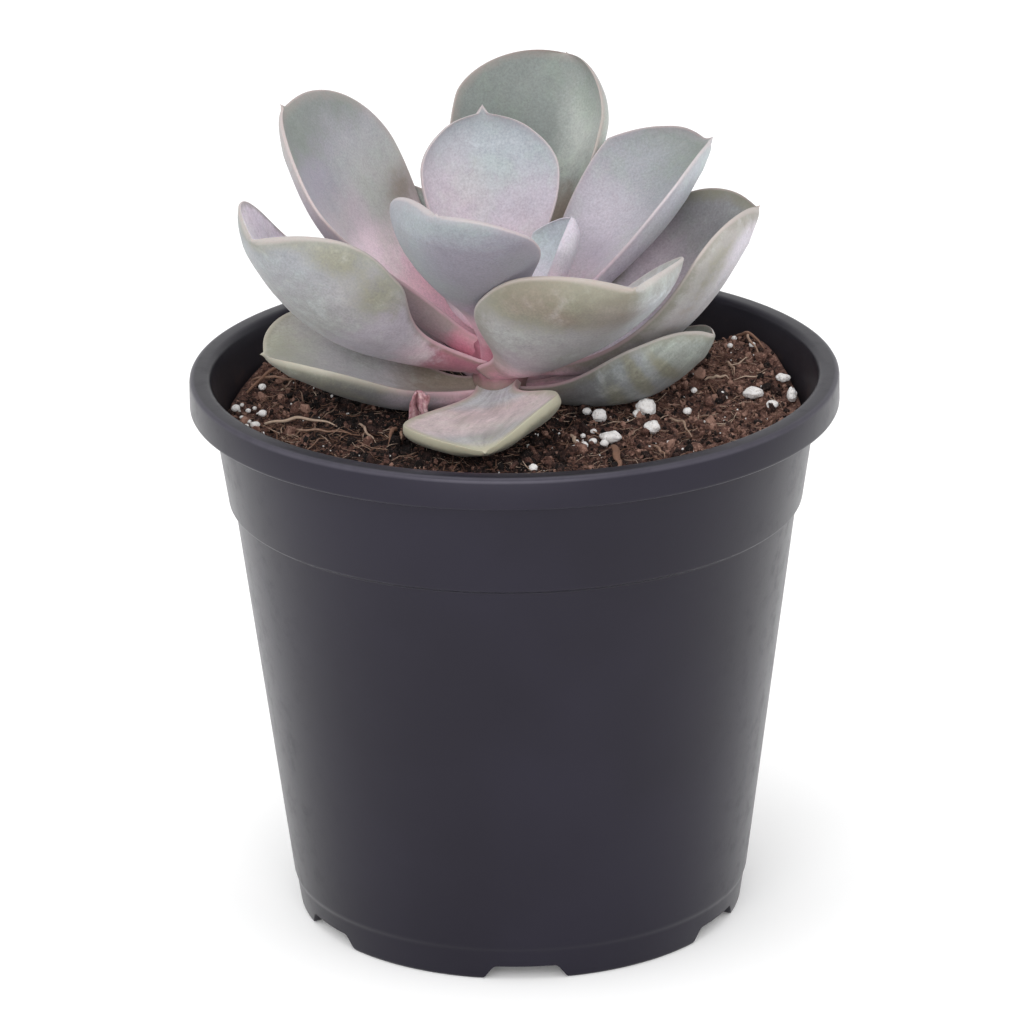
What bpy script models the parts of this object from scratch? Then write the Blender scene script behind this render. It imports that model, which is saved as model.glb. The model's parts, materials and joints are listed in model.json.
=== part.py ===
"""Potted succulent rosette: a broad-leaved Echeveria in a plastic nursery pot.

Run with:  blender --background --python part.py

The pot's axis is the world Z axis and the pot stands on Z = 0. The camera side is -Y.
Sizes below are millimetres and angles are degrees; MM turns them into Blender's metres.
"""

from dataclasses import dataclass
from math import cos, exp, pi, radians, sin

import bmesh
import bpy
import numpy as np

MM = 0.001
COLLECTION = "potted_succulent"

# --- driving dimensions ------------------------------------------------------------------
RIM_RADIUS = 60.0           # outside of the rolled rim: a 12 cm nursery pot
RIM_TOP = 104.9
BAND_FOOT = 80.5            # lower edge of the wider band under the rim
FOOT_RADIUS = 41.5
BASE_UNDERSIDE = 3.5        # the base plate hangs inside the foot ring
BASE_TOP = 5.0
CLEARANCE = 0.3             # air between pieces that touch on the real plant
TURN_STEPS = 60

NOTCHES = 6                 # gaps in the foot ring that let water run out
NOTCH_WIDTH = 14.6
NOTCH_CROWN = 10.0
NOTCH_HEIGHT = 2.8
SLOT_LENGTH = 10.0          # drain slots in the base plate, one behind each notch
SLOT_WIDTH = 3.4

SOIL_LEVEL = 95.2
SOIL_SIDES = 30
SOIL_RINGS = (0.0, 11.0, 22.0, 32.0, 41.0, 48.0)
SOIL_GAP = 0.5              # between the peat and the pot's flat-sided wall

STEM_AXIS = (-2.5, 9.0)     # the plant grows a little behind the pot's axis
STEM_RADIUS = 4.8
STEM_TOP = 112.0
STEM_BURIED = 25.0

LEAF_ROWS = 12
LEAF_COLUMNS = 7

SCRAP_WIDTH = 5.0           # the withered leaf foot that stands against the front leaf
SCRAP_HEIGHT = 7.4
SCRAP_THICKNESS = 0.6


@dataclass(frozen=True)
class Leaf:
    """One leaf, given the way a grower would describe it.

    heading is the direction it leaves the stem (0 is +X, 90 is +Y), foot the height of its
    foot, and rise the slope of its midrib at foot, middle and tip. cup is the angle, in
    radians, that half the blade bends through, foot_cup the same at the foot, and lean makes
    the left side more cupped than the right. neck and mucro are the narrow foot, as a share
    of the width, and the small point at the tip. waist is how long the foot stays narrow.
    """

    name: str
    heading: float
    foot: float
    rise: tuple
    length: float
    width: float
    widest: float = 0.68
    cup: float = 0.78
    foot_cup: float = 0.78
    roll: float = 0.0
    twist: float = 0.0
    sweep: float = 0.0
    lean: float = 0.0
    curl: float = 0.0
    neck: float = 0.2
    blunt: float = 2.3
    shoulder: float = 0.5
    mucro: float = 1.4
    thickness: float = 3.0
    waist: float = 1.6
    finish: str = "leaf_lavender"


LEAVES = (
    # the heart
    Leaf("leaf_heart_tip", -70, 110.8, (68, 74, 78), 12, 7, cup=1.0, mucro=0.8, thickness=1.8),
    Leaf("leaf_heart_left", 180, 109.8, (52, 62, 70), 19, 12, cup=1.0, mucro=1.0, thickness=2.2),
    Leaf("leaf_heart_right", 30.4, 109.0, (57, 54.7, 82.5), 23.2, 15.1, 0.723, cup=1.28, roll=-0.8,
         twist=-1.2, sweep=-12.6, lean=0.14, curl=12.6, blunt=1.2, mucro=0.9, thickness=2.0),
    # the upright inner pair
    Leaf("leaf_centre_back", 98.5, 107.2, (61, 60.5, 78), 42.9, 29.4, 0.685, cup=0.85, foot_cup=0.7,
         roll=-0.6, twist=3.9, sweep=-5, lean=0.11, curl=-2.7, blunt=1.9, shoulder=0.57, mucro=3.0),
    Leaf("leaf_centre_front", -97.5, 107.3, (70.3, 33.9, 67.2), 54, 30.9, 0.803, cup=0.71, roll=19.7,
         twist=-27.6, sweep=-16.5, lean=-0.27, curl=-6, blunt=1.94),
    # the tall middle ring
    Leaf("leaf_left_tall", 152.8, 104.9, (24, 56, 51.5), 58.7, 50.5, 0.67, cup=0.41, foot_cup=1.0,
         roll=12.7, twist=-27.3, sweep=20.7, lean=0.49, curl=-2.8, blunt=1.7, mucro=1.8, thickness=2.8),
    Leaf("leaf_right_tall", 35.9, 105.9, (35, 39.8, 50), 52.8, 31.6, 0.759, cup=1.08, roll=2.9,
         twist=-1.9, sweep=-14.4, lean=0.15, curl=-20, blunt=1.04, mucro=2.4, thickness=2.8),
    Leaf("leaf_front_right", -51.9, 103.2, (25.1, 34.9, 34.4), 44.1, 45.7, 0.554, cup=0.86, roll=5.3,
         twist=-10.5, sweep=-4.6, lean=-0.07, curl=14.8, neck=0.32, waist=1.9, blunt=2.44,
         thickness=2.8, finish="leaf_olive"),
    # the broad outer ring
    Leaf("leaf_back_tall", 89, 101.7, (34.7, 43.9, 67.3), 66.3, 38.5, 0.78, cup=1.16, foot_cup=0.7,
         roll=5.2, twist=11, sweep=-35.6, lean=-0.23, curl=-3.8, blunt=1.63, mucro=0.6, thickness=2.9,
         finish="leaf_grey_green"),
    Leaf("leaf_right_outer", 7.2, 102.6, (-6.2, 38.3, 58.3), 54, 36.1, 0.733, cup=1, foot_cup=0.7,
         roll=19.9, twist=-15, sweep=3.5, lean=-0.25, curl=-20.2, neck=0.16, blunt=1.8, thickness=2.8,
         finish="leaf_grey_green"),
    Leaf("leaf_left_outer", -171.2, 103, (19.1, 32.9, 84.1), 54.8, 46, 0.619, cup=0.89, foot_cup=0.33,
         roll=12.6, twist=-19.9, sweep=32.5, lean=0.17, curl=-45.8, neck=0.26, waist=2.8, blunt=3.5,
         finish="leaf_olive"),
    # the low leaves that lie over the soil
    Leaf("leaf_left_low", -172, 98.4, (-3.9, 22.2, -11.2), 40.9, 26.8, 0.717, cup=0.43, foot_cup=0.42,
         roll=-14, twist=5.5, sweep=-0.3, lean=0.16, curl=-2.1, blunt=1.78, thickness=2.8,
         finish="leaf_olive"),
    Leaf("leaf_right_low", -12.2, 97.9, (1, 16.3, 62), 38.3, 28.6, 0.63, cup=0.95, foot_cup=0.7,
         roll=-4, twist=-10.9, sweep=4.8, lean=-0.09, curl=-16.7, blunt=1.85, mucro=0.8, thickness=2.6,
         finish="leaf_olive"),
    Leaf("leaf_front_drooping", -99.7, 98.7, (-5.6, 7, -8.7), 37.5, 29.5, 0.61, cup=0.39, foot_cup=0.44,
         roll=12.8, twist=-2.8, sweep=13.2, lean=0.04, curl=-5.4, neck=0.28, blunt=1.37, shoulder=0.75,
         thickness=2.4),
    # the low leaves at the back, mostly out of sight from the front
    Leaf("leaf_back_right_low", 38, 98.6, (0, 13, 24), 40, 23, neck=0.14, thickness=2.6,
         finish="leaf_grey_green"),
    Leaf("leaf_back_low", 83, 98.6, (0, 14, 26), 38, 22, neck=0.14, thickness=2.6, finish="leaf_olive"),
    Leaf("leaf_back_left", 128.4, 98.9, (17, 43, 57.8), 45.3, 21.5, 0.682, cup=0.76, roll=0.7,
         twist=3.5, sweep=-14.4, lean=-0.01, curl=-0.2, neck=0.14, blunt=2.3, thickness=2.6,
         finish="leaf_grey_green"),
)

# The larger perlite grains: place in plan, then length, width and height.
GRAINS = (
    ("perlite_right_large", (24.4, -0.6), (4.0, 3.6, 3.4)),
    ("perlite_right_front", (25.1, -10.6), (3.2, 2.8, 2.6)),
    ("perlite_by_front_leaf", (15.6, -3.2), (2.8, 2.6, 2.4)),
    ("perlite_front_flat", (17.4, -16.2), (3.8, 2.8, 2.2)),
    ("perlite_far_right", (44.2, 6.8), (3.8, 2.6, 2.3)),
    ("perlite_edge_flat", (50.0, 12.4), (2.6, 2.2, 1.8)),
    ("perlite_edge_tall", (51.4, 5.2), (1.9, 2.6, 3.0)),
    ("perlite_edge_small", (47.6, 2.4), (2.4, 2.0, 1.6)),
)

FINISHES = {
    # name: (base colour, roughness)
    "pot_plastic": ((0.035, 0.034, 0.040, 1.0), 0.45),
    "peat": ((0.045, 0.024, 0.017, 1.0), 0.95),
    "stem_bark": ((0.42, 0.14, 0.19, 1.0), 0.6),
    "leaf_lavender": ((0.47, 0.40, 0.46, 1.0), 0.55),
    "leaf_grey_green": ((0.30, 0.34, 0.31, 1.0), 0.55),
    "leaf_olive": ((0.40, 0.40, 0.35, 1.0), 0.6),
    "perlite": ((0.74, 0.72, 0.70, 1.0), 0.9),
    "withered": ((0.46, 0.27, 0.29, 1.0), 0.85),
}


# --- small helpers -----------------------------------------------------------------------
def clear_scene():
    """Remove every object that the file opened with."""
    for thing in list(bpy.data.objects):
        bpy.data.objects.remove(thing, do_unlink=True)


def new_collection(name, hidden=False):
    """Make a collection under the scene, hidden from renders when it holds cutters."""
    collection = bpy.data.collections.new(name)
    bpy.context.scene.collection.children.link(collection)
    collection.hide_render = hidden
    return collection


def material(name):
    """The Principled material of one finish."""
    made = bpy.data.materials.get(name)
    if made is None:
        colour, roughness = FINISHES[name]
        made = bpy.data.materials.new(name)
        made.use_nodes = True
        shader = made.node_tree.nodes["Principled BSDF"]
        shader.inputs["Base Color"].default_value = colour
        shader.inputs["Roughness"].default_value = roughness
        shader.inputs["Metallic"].default_value = 0.0
    return made


def add_object(name, mesh, collection, finish=None):
    """Link a mesh as a named object and give it a material of its own."""
    thing = bpy.data.objects.new(name, mesh)
    collection.objects.link(thing)
    if finish:
        own = material(finish).copy()
        own.name = f"{name}_finish"
        mesh.materials.append(own)
    return thing


def turned(name, profile, collection, finish=None, steps=TURN_STEPS):
    """Turn a profile of (radius, height) points about Z with the Screw modifier."""
    mesh = bpy.data.meshes.new(name)
    points = [(radius * MM, 0.0, height * MM) for radius, height in profile]
    edges = [(i, i + 1) for i in range(len(points) - 1)]
    mesh.from_pydata(points, edges, [])
    thing = add_object(name, mesh, collection, finish)
    screw = thing.modifiers.new("Turn", "SCREW")
    screw.steps = steps
    screw.render_steps = steps
    screw.use_merge_vertices = True
    screw.merge_threshold = 0.00001
    screw.use_smooth_shade = False
    return thing


def cut(thing, cutter):
    """Take one cutter away from an object."""
    boolean = thing.modifiers.new(f"Cut {cutter.name}", "BOOLEAN")
    boolean.operation = "DIFFERENCE"
    boolean.solver = "EXACT"
    boolean.object = cutter
    cutter.display_type = "WIRE"
    cutter.hide_render = True


# --- the pot -----------------------------------------------------------------------------
def pot_profile():
    """Half section of the pot, from the middle of its floor out, up, over and down again."""
    inner_floor = FOOT_RADIUS - 0.3
    lip = RIM_RADIUS - 4.4
    return [
        (0.0, BASE_TOP),
        (inner_floor - 1.0, BASE_TOP),
        (inner_floor, BASE_TOP + 1.2),
        (50.5, BAND_FOOT - 1.7),
        (51.9, BAND_FOOT - 0.2),
        (54.5, 97.5),
        (lip - 0.2, RIM_TOP - 2.9),
        (lip + 0.5, RIM_TOP - 1.0),
        (RIM_RADIUS - 2.6, RIM_TOP - 0.1),
        (RIM_RADIUS - 1.1, RIM_TOP - 0.2),
        (RIM_RADIUS - 0.2, RIM_TOP - 1.1),
        (RIM_RADIUS, RIM_TOP - 2.3),
        (RIM_RADIUS - 0.3, RIM_TOP - 3.6),
        (RIM_RADIUS - 0.3, RIM_TOP - 6.0),
        (RIM_RADIUS - 0.8, RIM_TOP - 6.6),
        (RIM_RADIUS - 1.5, RIM_TOP - 6.4),
        (RIM_RADIUS - 1.7, RIM_TOP - 3.2),
        (lip + 0.9, RIM_TOP - 3.4),
        (55.6, 97.6),
        (53.1, BAND_FOOT + 0.2),
        (52.1, BAND_FOOT - 0.5),
        (42.8, 6.8),
        (42.4, 5.9),
        (FOOT_RADIUS, 0.8),
        (FOOT_RADIUS - 0.6, 0.0),
        (FOOT_RADIUS - 3.0, 0.0),
        (FOOT_RADIUS - 3.4, BASE_UNDERSIDE),
        (0.0, BASE_UNDERSIDE),
    ]


def notch_cutter(name, turn, collection):
    """A wedge with a trapezoid outline that opens the foot ring at one heading."""
    half_foot = NOTCH_WIDTH / 2
    half_crown = NOTCH_CROWN / 2
    near = FOOT_RADIUS - 7.0
    far = FOOT_RADIUS + 4.0
    outline = [(-half_foot - 0.4, -1.0), (-half_crown, NOTCH_HEIGHT), (half_crown, NOTCH_HEIGHT),
               (half_foot + 0.4, -1.0)]
    mesh = bpy.data.meshes.new(name)
    shape = bmesh.new()
    face = shape.faces.new([shape.verts.new((near * MM, y * MM, z * MM)) for y, z in outline])
    grown = bmesh.ops.extrude_face_region(shape, geom=[face])
    moved = [part for part in grown["geom"] if isinstance(part, bmesh.types.BMVert)]
    bmesh.ops.translate(shape, verts=moved, vec=((far - near) * MM, 0.0, 0.0))
    bmesh.ops.recalc_face_normals(shape, faces=shape.faces)
    shape.to_mesh(mesh)
    shape.free()
    cutter = add_object(name, mesh, collection)
    cutter.rotation_euler.z = turn
    return cutter


def slot_cutter(name, turn, collection):
    """A round-ended slot through the base plate, pointing away from the axis."""
    mesh = bpy.data.meshes.new(name)
    shape = bmesh.new()
    bmesh.ops.create_cone(shape, cap_ends=True, segments=12, radius1=SLOT_WIDTH / 2 * MM,
                          radius2=SLOT_WIDTH / 2 * MM, depth=6.0 * MM)
    reach = (SLOT_LENGTH - SLOT_WIDTH) * MM
    for corner in shape.verts:
        if corner.co.x > 0.0:
            corner.co.x += reach
    shape.to_mesh(mesh)
    shape.free()
    cutter = add_object(name, mesh, collection)
    inner_end = 24.0
    cutter.location = (inner_end * cos(turn) * MM, inner_end * sin(turn) * MM, BASE_UNDERSIDE * MM)
    cutter.rotation_euler.z = turn
    return cutter


def build_pot(parts, cutters):
    """The pot: a thin turned shell with a rolled rim, a band, a notched foot and drain slots."""
    pot = turned("pot", pot_profile(), parts, "pot_plastic")
    for index in range(NOTCHES):
        turn = radians(-89.0 + index * 360.0 / NOTCHES)
        cut(pot, notch_cutter(f"notch_{index + 1}", turn, cutters))
        cut(pot, slot_cutter(f"slot_{index + 1}", turn, cutters))
    return pot


# --- the soil ----------------------------------------------------------------------------
def soil_height(x, y):
    """Height of the peat at a place in the pot: nearly level, with two mounds at the back."""
    back_right = 5.2 * exp(-((x - 46.0) ** 2 + (y - 26.0) ** 2) / 160.0)
    back_left = 2.2 * exp(-((x + 44.0) ** 2 + (y - 24.0) ** 2) / 160.0)
    ripple = 0.3 * sin(x * 0.21 + 1.0) * cos(y * 0.17)
    return SOIL_LEVEL + back_right + back_left + ripple


def pot_inner_radius(height):
    """Inside radius of the pot's wall at a height, for the soil to stop short of."""
    inside = [(z, r) for r, z in pot_profile()[1:7]]
    return float(np.interp(height, [z for z, _ in inside], [r for _, r in inside]))


def build_soil(parts, cutters):
    """The peat as one plug: turned, then its top raised to the soil's own surface."""
    def at_wall(height):
        """Where the peat stops short of the pot's wall at a height."""
        return (pot_inner_radius(height) - SOIL_GAP, height)

    top = [(radius, SOIL_LEVEL) for radius in SOIL_RINGS] + [at_wall(SOIL_LEVEL)]
    side = [at_wall(BAND_FOOT), at_wall(BAND_FOOT - 2.0), at_wall(BASE_TOP + 1.5),
            (FOOT_RADIUS - 2.2, BASE_TOP + CLEARANCE), (0.0, BASE_TOP + CLEARANCE)]
    plug = turned("soil_plug", top + side, cutters, steps=SOIL_SIDES)
    evaluated = plug.evaluated_get(bpy.context.evaluated_depsgraph_get())
    mesh = bpy.data.meshes.new_from_object(evaluated)
    mesh.name = "soil"
    bpy.data.objects.remove(plug, do_unlink=True)
    for corner in mesh.vertices:
        if corner.co.z > (SOIL_LEVEL - 1.0) * MM:
            corner.co.z = soil_height(corner.co.x / MM, corner.co.y / MM) * MM
    soil = add_object("soil", mesh, parts, "peat")
    cut(soil, stem_socket(cutters))
    return soil


def stem_socket(cutters):
    """The hole that the buried stem stands in."""
    mesh = bpy.data.meshes.new("stem_socket")
    shape = bmesh.new()
    radius = (STEM_RADIUS + CLEARANCE) * MM
    depth = (STEM_BURIED + 2 * CLEARANCE) * MM
    bmesh.ops.create_cone(shape, cap_ends=True, segments=16, radius1=radius, radius2=radius,
                          depth=2 * depth)
    shape.to_mesh(mesh)
    shape.free()
    socket = add_object("stem_socket", mesh, cutters)
    socket.location = (STEM_AXIS[0] * MM, STEM_AXIS[1] * MM, SOIL_LEVEL * MM)
    return socket


# --- the plant ---------------------------------------------------------------------------
def build_stem(parts):
    """The short thick stem: buried below, tapering to a blunt growing point above."""
    root = SOIL_LEVEL - STEM_BURIED
    profile = [(0.0, STEM_TOP), *stem_shoulder(), (STEM_RADIUS, SOIL_LEVEL - 4.0),
               (STEM_RADIUS - 0.6, root + 1.0), (STEM_RADIUS - 1.8, root), (0.0, root)]
    stem = turned("stem", profile, parts, "stem_bark", steps=14)
    stem.location = (STEM_AXIS[0] * MM, STEM_AXIS[1] * MM, 0.0)
    return stem


def stem_shoulder():
    """Radius and height down the tapering top of the stem."""
    return [(1.2, STEM_TOP - 0.3), (2.0, STEM_TOP - 1.4), (STEM_RADIUS, STEM_TOP - 5.0)]


def stem_reach(height):
    """How far from the stem's axis a leaf's foot starts at a height."""
    heights = [z for _, z in reversed(stem_shoulder())]
    radii = [r for r, _ in reversed(stem_shoulder())]
    return float(np.interp(height, heights, radii)) + 2 * CLEARANCE


def three_point_curve(start, middle, end, share):
    """The parabola through a value at the start, the middle and the end."""
    return (start * (1 - share) * (1 - 2 * share) + middle * 4 * share * (1 - share)
            + end * share * (2 * share - 1))


def half_width(leaf, share):
    """Half the blade's width along its length, in millimetres."""
    tip_zone = leaf.mucro / leaf.length
    opening = np.sin(np.clip(share / leaf.widest, 0, 1) * pi / 2) ** leaf.waist
    climb = leaf.neck + (1 - leaf.neck) * opening
    end = 1 - 0.6 * tip_zone
    fall = np.clip(1 - np.clip((share - leaf.widest) / (end - leaf.widest), 0, 1) ** leaf.blunt, 0, 1)
    blade = np.where(share < leaf.widest, climb, fall ** leaf.shoulder)
    out = np.clip((1 - share) / tip_zone, 0, 2)
    cusp = leaf.mucro * (0.40 * out + 0.36 * out ** 2) * np.clip(2 - out, 0, 1)
    return np.hypot(blade * leaf.width / 2, cusp)


def midrib(leaf, share):
    """Points of the midrib with its heading, side and upward directions at each share."""
    fine = np.linspace(0.0, 1.0, 161)
    tip_bend = leaf.curl * np.clip((fine - 0.7) / 0.3, 0, 1) ** 2
    slope = np.radians(three_point_curve(*leaf.rise, fine) + tip_bend)
    turn = np.radians(leaf.heading + leaf.sweep * fine)
    ahead = np.stack([np.cos(slope) * np.cos(turn), np.cos(slope) * np.sin(turn), np.sin(slope)], 1)
    steps = (ahead[1:] + ahead[:-1]) / 2 * leaf.length / 160
    start_turn = radians(leaf.heading)
    reach = stem_reach(leaf.foot)
    start = np.array([STEM_AXIS[0] + reach * cos(start_turn), STEM_AXIS[1] + reach * sin(start_turn),
                      leaf.foot])
    path = start + np.vstack([np.zeros(3), np.cumsum(steps, 0)])
    centre = np.stack([np.interp(share, fine, path[:, axis]) for axis in range(3)], 1)
    ahead = np.stack([np.interp(share, fine, ahead[:, axis]) for axis in range(3)], 1)
    turn = np.radians(leaf.heading + leaf.sweep * share)
    side = np.stack([-np.sin(turn), np.cos(turn), np.zeros_like(turn)], 1)
    upward = np.cross(ahead, side)
    tilt = np.radians(leaf.roll + leaf.twist * share)[:, None]
    rolled_side = side * np.cos(tilt) + upward * np.sin(tilt)
    rolled_up = upward * np.cos(tilt) - side * np.sin(tilt)
    return centre, rolled_side, rolled_up


def leaf_surfaces(leaf, rows, columns):
    """Upper and lower surface points of a leaf, as arrays of rows by columns by XYZ."""
    share = np.sin(np.linspace(0, 1, rows) * pi / 2) ** 1.15
    centre, side, upward = midrib(leaf, share)
    half = half_width(leaf, share)[:, None]
    across = np.linspace(-1, 1, columns)
    across = (np.sin(across * pi / 2) + across)[None, :] / 2
    bend = three_point_curve(leaf.foot_cup, leaf.cup, leaf.cup, share)[:, None]
    bend = bend * (1 + leaf.lean * across)
    out = half * np.sin(bend * across) / bend
    lift = half * (1 - np.cos(bend * across)) / bend
    upper = centre[:, None] + side[:, None] * out[..., None] + upward[:, None] * lift[..., None]
    normal = (upward[:, None] * np.cos(bend * across)[..., None]
              - side[:, None] * np.sin(bend * across)[..., None])
    swell = 0.62 + 0.63 * np.sin(pi * share ** 0.8)
    body = leaf.thickness * swell * np.clip((1 - share) / 0.12, 0, 1) ** 0.6
    body = np.minimum(body[:, None], 1.8 * half)
    depth = body * (1 - np.abs(across) ** 2.2) ** 0.75
    lower = upper - normal * depth[..., None]
    return upper, lower


def leaf_mesh(leaf, rows=LEAF_ROWS, columns=LEAF_COLUMNS):
    """A closed leaf: one ring of points for each row, lofted from the foot to the point."""
    upper, lower = leaf_surfaces(leaf, rows, columns)
    shape = bmesh.new()
    rings = []
    for row in range(rows - 1):
        ring = list(upper[row]) + list(lower[row, -2:0:-1])
        rings.append([shape.verts.new(point * MM) for point in ring])
    tip = shape.verts.new(upper[-1, columns // 2] * MM)
    size = len(rings[0])
    for low, high in zip(rings, rings[1:]):
        for i in range(size):
            j = (i + 1) % size
            shape.faces.new((low[i], low[j], high[j], high[i]))
    for i in range(size):
        shape.faces.new((rings[-1][i], rings[-1][(i + 1) % size], tip))
    for i in range(columns - 1):
        under = (size - i) % size
        under_next = size - i - 1 if i < columns - 2 else columns - 1
        corners = (rings[0][i], rings[0][under], rings[0][under_next], rings[0][i + 1])
        shape.faces.new(list(dict.fromkeys(corners)))
    bmesh.ops.recalc_face_normals(shape, faces=shape.faces)
    mesh = bpy.data.meshes.new(leaf.name)
    shape.to_mesh(mesh)
    shape.free()
    return mesh


def build_leaves(parts):
    """Every leaf of the rosette, each its own object."""
    for leaf in LEAVES:
        add_object(leaf.name, leaf_mesh(leaf), parts, leaf.finish)


# --- what lies on the soil ---------------------------------------------------------------
def build_grains(parts):
    """The larger perlite grains, each a lumpy pebble that lies on the peat."""
    for index, (name, (x, y), size) in enumerate(GRAINS):
        shape = bmesh.new()
        bmesh.ops.create_icosphere(shape, subdivisions=2, radius=0.5)
        lift = soil_height(x, y) + size[2] / 2 + 2 * CLEARANCE
        for corner in shape.verts:
            along, across, up = corner.co
            lump = 1 + 0.12 * sin(7 * along + 1.7 * index) * cos(8 * across - index) + 0.06 * sin(9 * up)
            corner.co = (x * MM + along * size[0] * lump * MM, y * MM + across * size[1] * lump * MM,
                         lift * MM + up * size[2] * MM)
        mesh = bpy.data.meshes.new(name)
        shape.to_mesh(mesh)
        shape.free()
        add_object(name, mesh, parts, "perlite")


def build_scrap(parts):
    """The withered foot of a lost leaf: a thin crumpled sheet standing in the peat."""
    shape = bmesh.new()
    bmesh.ops.create_grid(shape, x_segments=5, y_segments=5, size=0.5)
    for corner in shape.verts:
        across = corner.co.x
        up = corner.co.y + 0.5
        spread = SCRAP_WIDTH * (1.0 - 0.45 * up)
        corner.co = (across * spread * MM, (1.1 * cos(6.5 * across) - 0.8 * up) * MM, up * SCRAP_HEIGHT * MM)
    mesh = bpy.data.meshes.new("withered_scrap")
    shape.to_mesh(mesh)
    shape.free()
    scrap = add_object("withered_scrap", mesh, parts, "withered")
    scrap.location = (-17.5 * MM, -4.5 * MM, (soil_height(-17.5, -4.5) + 2 * CLEARANCE) * MM)
    thicken = scrap.modifiers.new("Thicken", "SOLIDIFY")
    thicken.thickness = SCRAP_THICKNESS * MM
    thicken.offset = 0.0


def main():
    """Build the whole object."""
    clear_scene()
    parts = new_collection(COLLECTION)
    cutters = new_collection("cutters", hidden=True)
    build_pot(parts, cutters)
    build_soil(parts, cutters)
    build_stem(parts)
    build_leaves(parts)
    build_grains(parts)
    build_scrap(parts)


main()
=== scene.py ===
"""Potted succulent rosette: the visual model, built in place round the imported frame.

The pot's axis is world Z and its foot stands on Z = 0. The viewer stands on the -Y side.
Sizes in the classes are millimetres and angles degrees; MM turns millimetres into metres
where a mesh is made.
"""

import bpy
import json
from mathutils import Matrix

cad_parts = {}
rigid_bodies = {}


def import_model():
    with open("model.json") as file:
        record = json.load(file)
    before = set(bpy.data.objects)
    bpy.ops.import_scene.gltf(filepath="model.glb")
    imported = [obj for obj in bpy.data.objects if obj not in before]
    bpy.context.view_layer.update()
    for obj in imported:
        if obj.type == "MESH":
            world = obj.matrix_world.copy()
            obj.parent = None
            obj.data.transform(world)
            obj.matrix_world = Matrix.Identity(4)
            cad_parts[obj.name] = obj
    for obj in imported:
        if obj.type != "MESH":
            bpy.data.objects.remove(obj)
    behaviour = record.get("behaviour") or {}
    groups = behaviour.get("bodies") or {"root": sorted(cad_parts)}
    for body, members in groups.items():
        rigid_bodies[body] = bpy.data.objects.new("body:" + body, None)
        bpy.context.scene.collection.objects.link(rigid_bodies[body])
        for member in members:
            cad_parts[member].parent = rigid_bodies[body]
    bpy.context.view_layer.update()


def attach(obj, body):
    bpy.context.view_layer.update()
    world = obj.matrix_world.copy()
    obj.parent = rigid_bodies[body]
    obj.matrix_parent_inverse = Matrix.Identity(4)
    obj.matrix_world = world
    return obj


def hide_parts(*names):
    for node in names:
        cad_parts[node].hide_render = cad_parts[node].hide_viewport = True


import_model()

import json
import logging
from collections.abc import Sequence
from dataclasses import dataclass
from enum import Enum
from math import cos, exp, hypot, pi, radians, sin
from random import Random

import bmesh
import bpy
import numpy as np
from mathutils import Matrix, Vector, noise

MM = 0.001
CM2_PER_M2 = 10000.0
MERGE_AXIS = 0.00001
MERGE_SEAM = 0.000002
ROOT = "root"
LOG = logging.getLogger("succulent")

Number = int | float
Rgb = tuple[float, float, float]
Point = tuple[float, float, float]


class Tint(Enum):
    """Named colours, as linear red, green and blue."""

    # MAROON serves as painted shade at a leaf's foot by the stem.
    MAROON = (0.350, 0.130, 0.175)
    DEEP_ROSE = (0.560, 0.230, 0.300)
    ROSE = (0.700, 0.440, 0.520)
    PINK = (0.600, 0.475, 0.535)
    DUSTY_PINK = (0.580, 0.478, 0.488)
    MAUVE = (0.330, 0.285, 0.320)
    LILAC = (0.430, 0.395, 0.450)
    DUSK = (0.230, 0.215, 0.260)
    BLUE_GREY = (0.255, 0.265, 0.285)
    PALE_BLUE = (0.340, 0.370, 0.400)
    FROST = (0.500, 0.520, 0.560)
    SAGE = (0.180, 0.200, 0.190)
    GREY_GREEN = (0.290, 0.312, 0.285)
    STONE = (0.330, 0.320, 0.330)
    WARM_GREY = (0.300, 0.250, 0.255)
    PALE_SAGE = (0.385, 0.408, 0.385)
    # SLATE serves as painted shade in the leaves' hollows and on their undersides.
    SLATE = (0.140, 0.138, 0.145)
    DEEP_SAGE = (0.150, 0.163, 0.158)
    TEAL_GREY = (0.245, 0.272, 0.288)
    MOSS = (0.220, 0.215, 0.175)
    OLIVE = (0.190, 0.184, 0.132)
    UMBER = (0.205, 0.165, 0.135)
    BRONZE = (0.215, 0.190, 0.165)
    YELLOW_GREEN = (0.410, 0.390, 0.290)
    CREAM = (0.520, 0.480, 0.400)
    BLUSH = (0.480, 0.410, 0.400)
    TAN = (0.330, 0.270, 0.250)
    PURPLE = (0.300, 0.225, 0.320)


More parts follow.
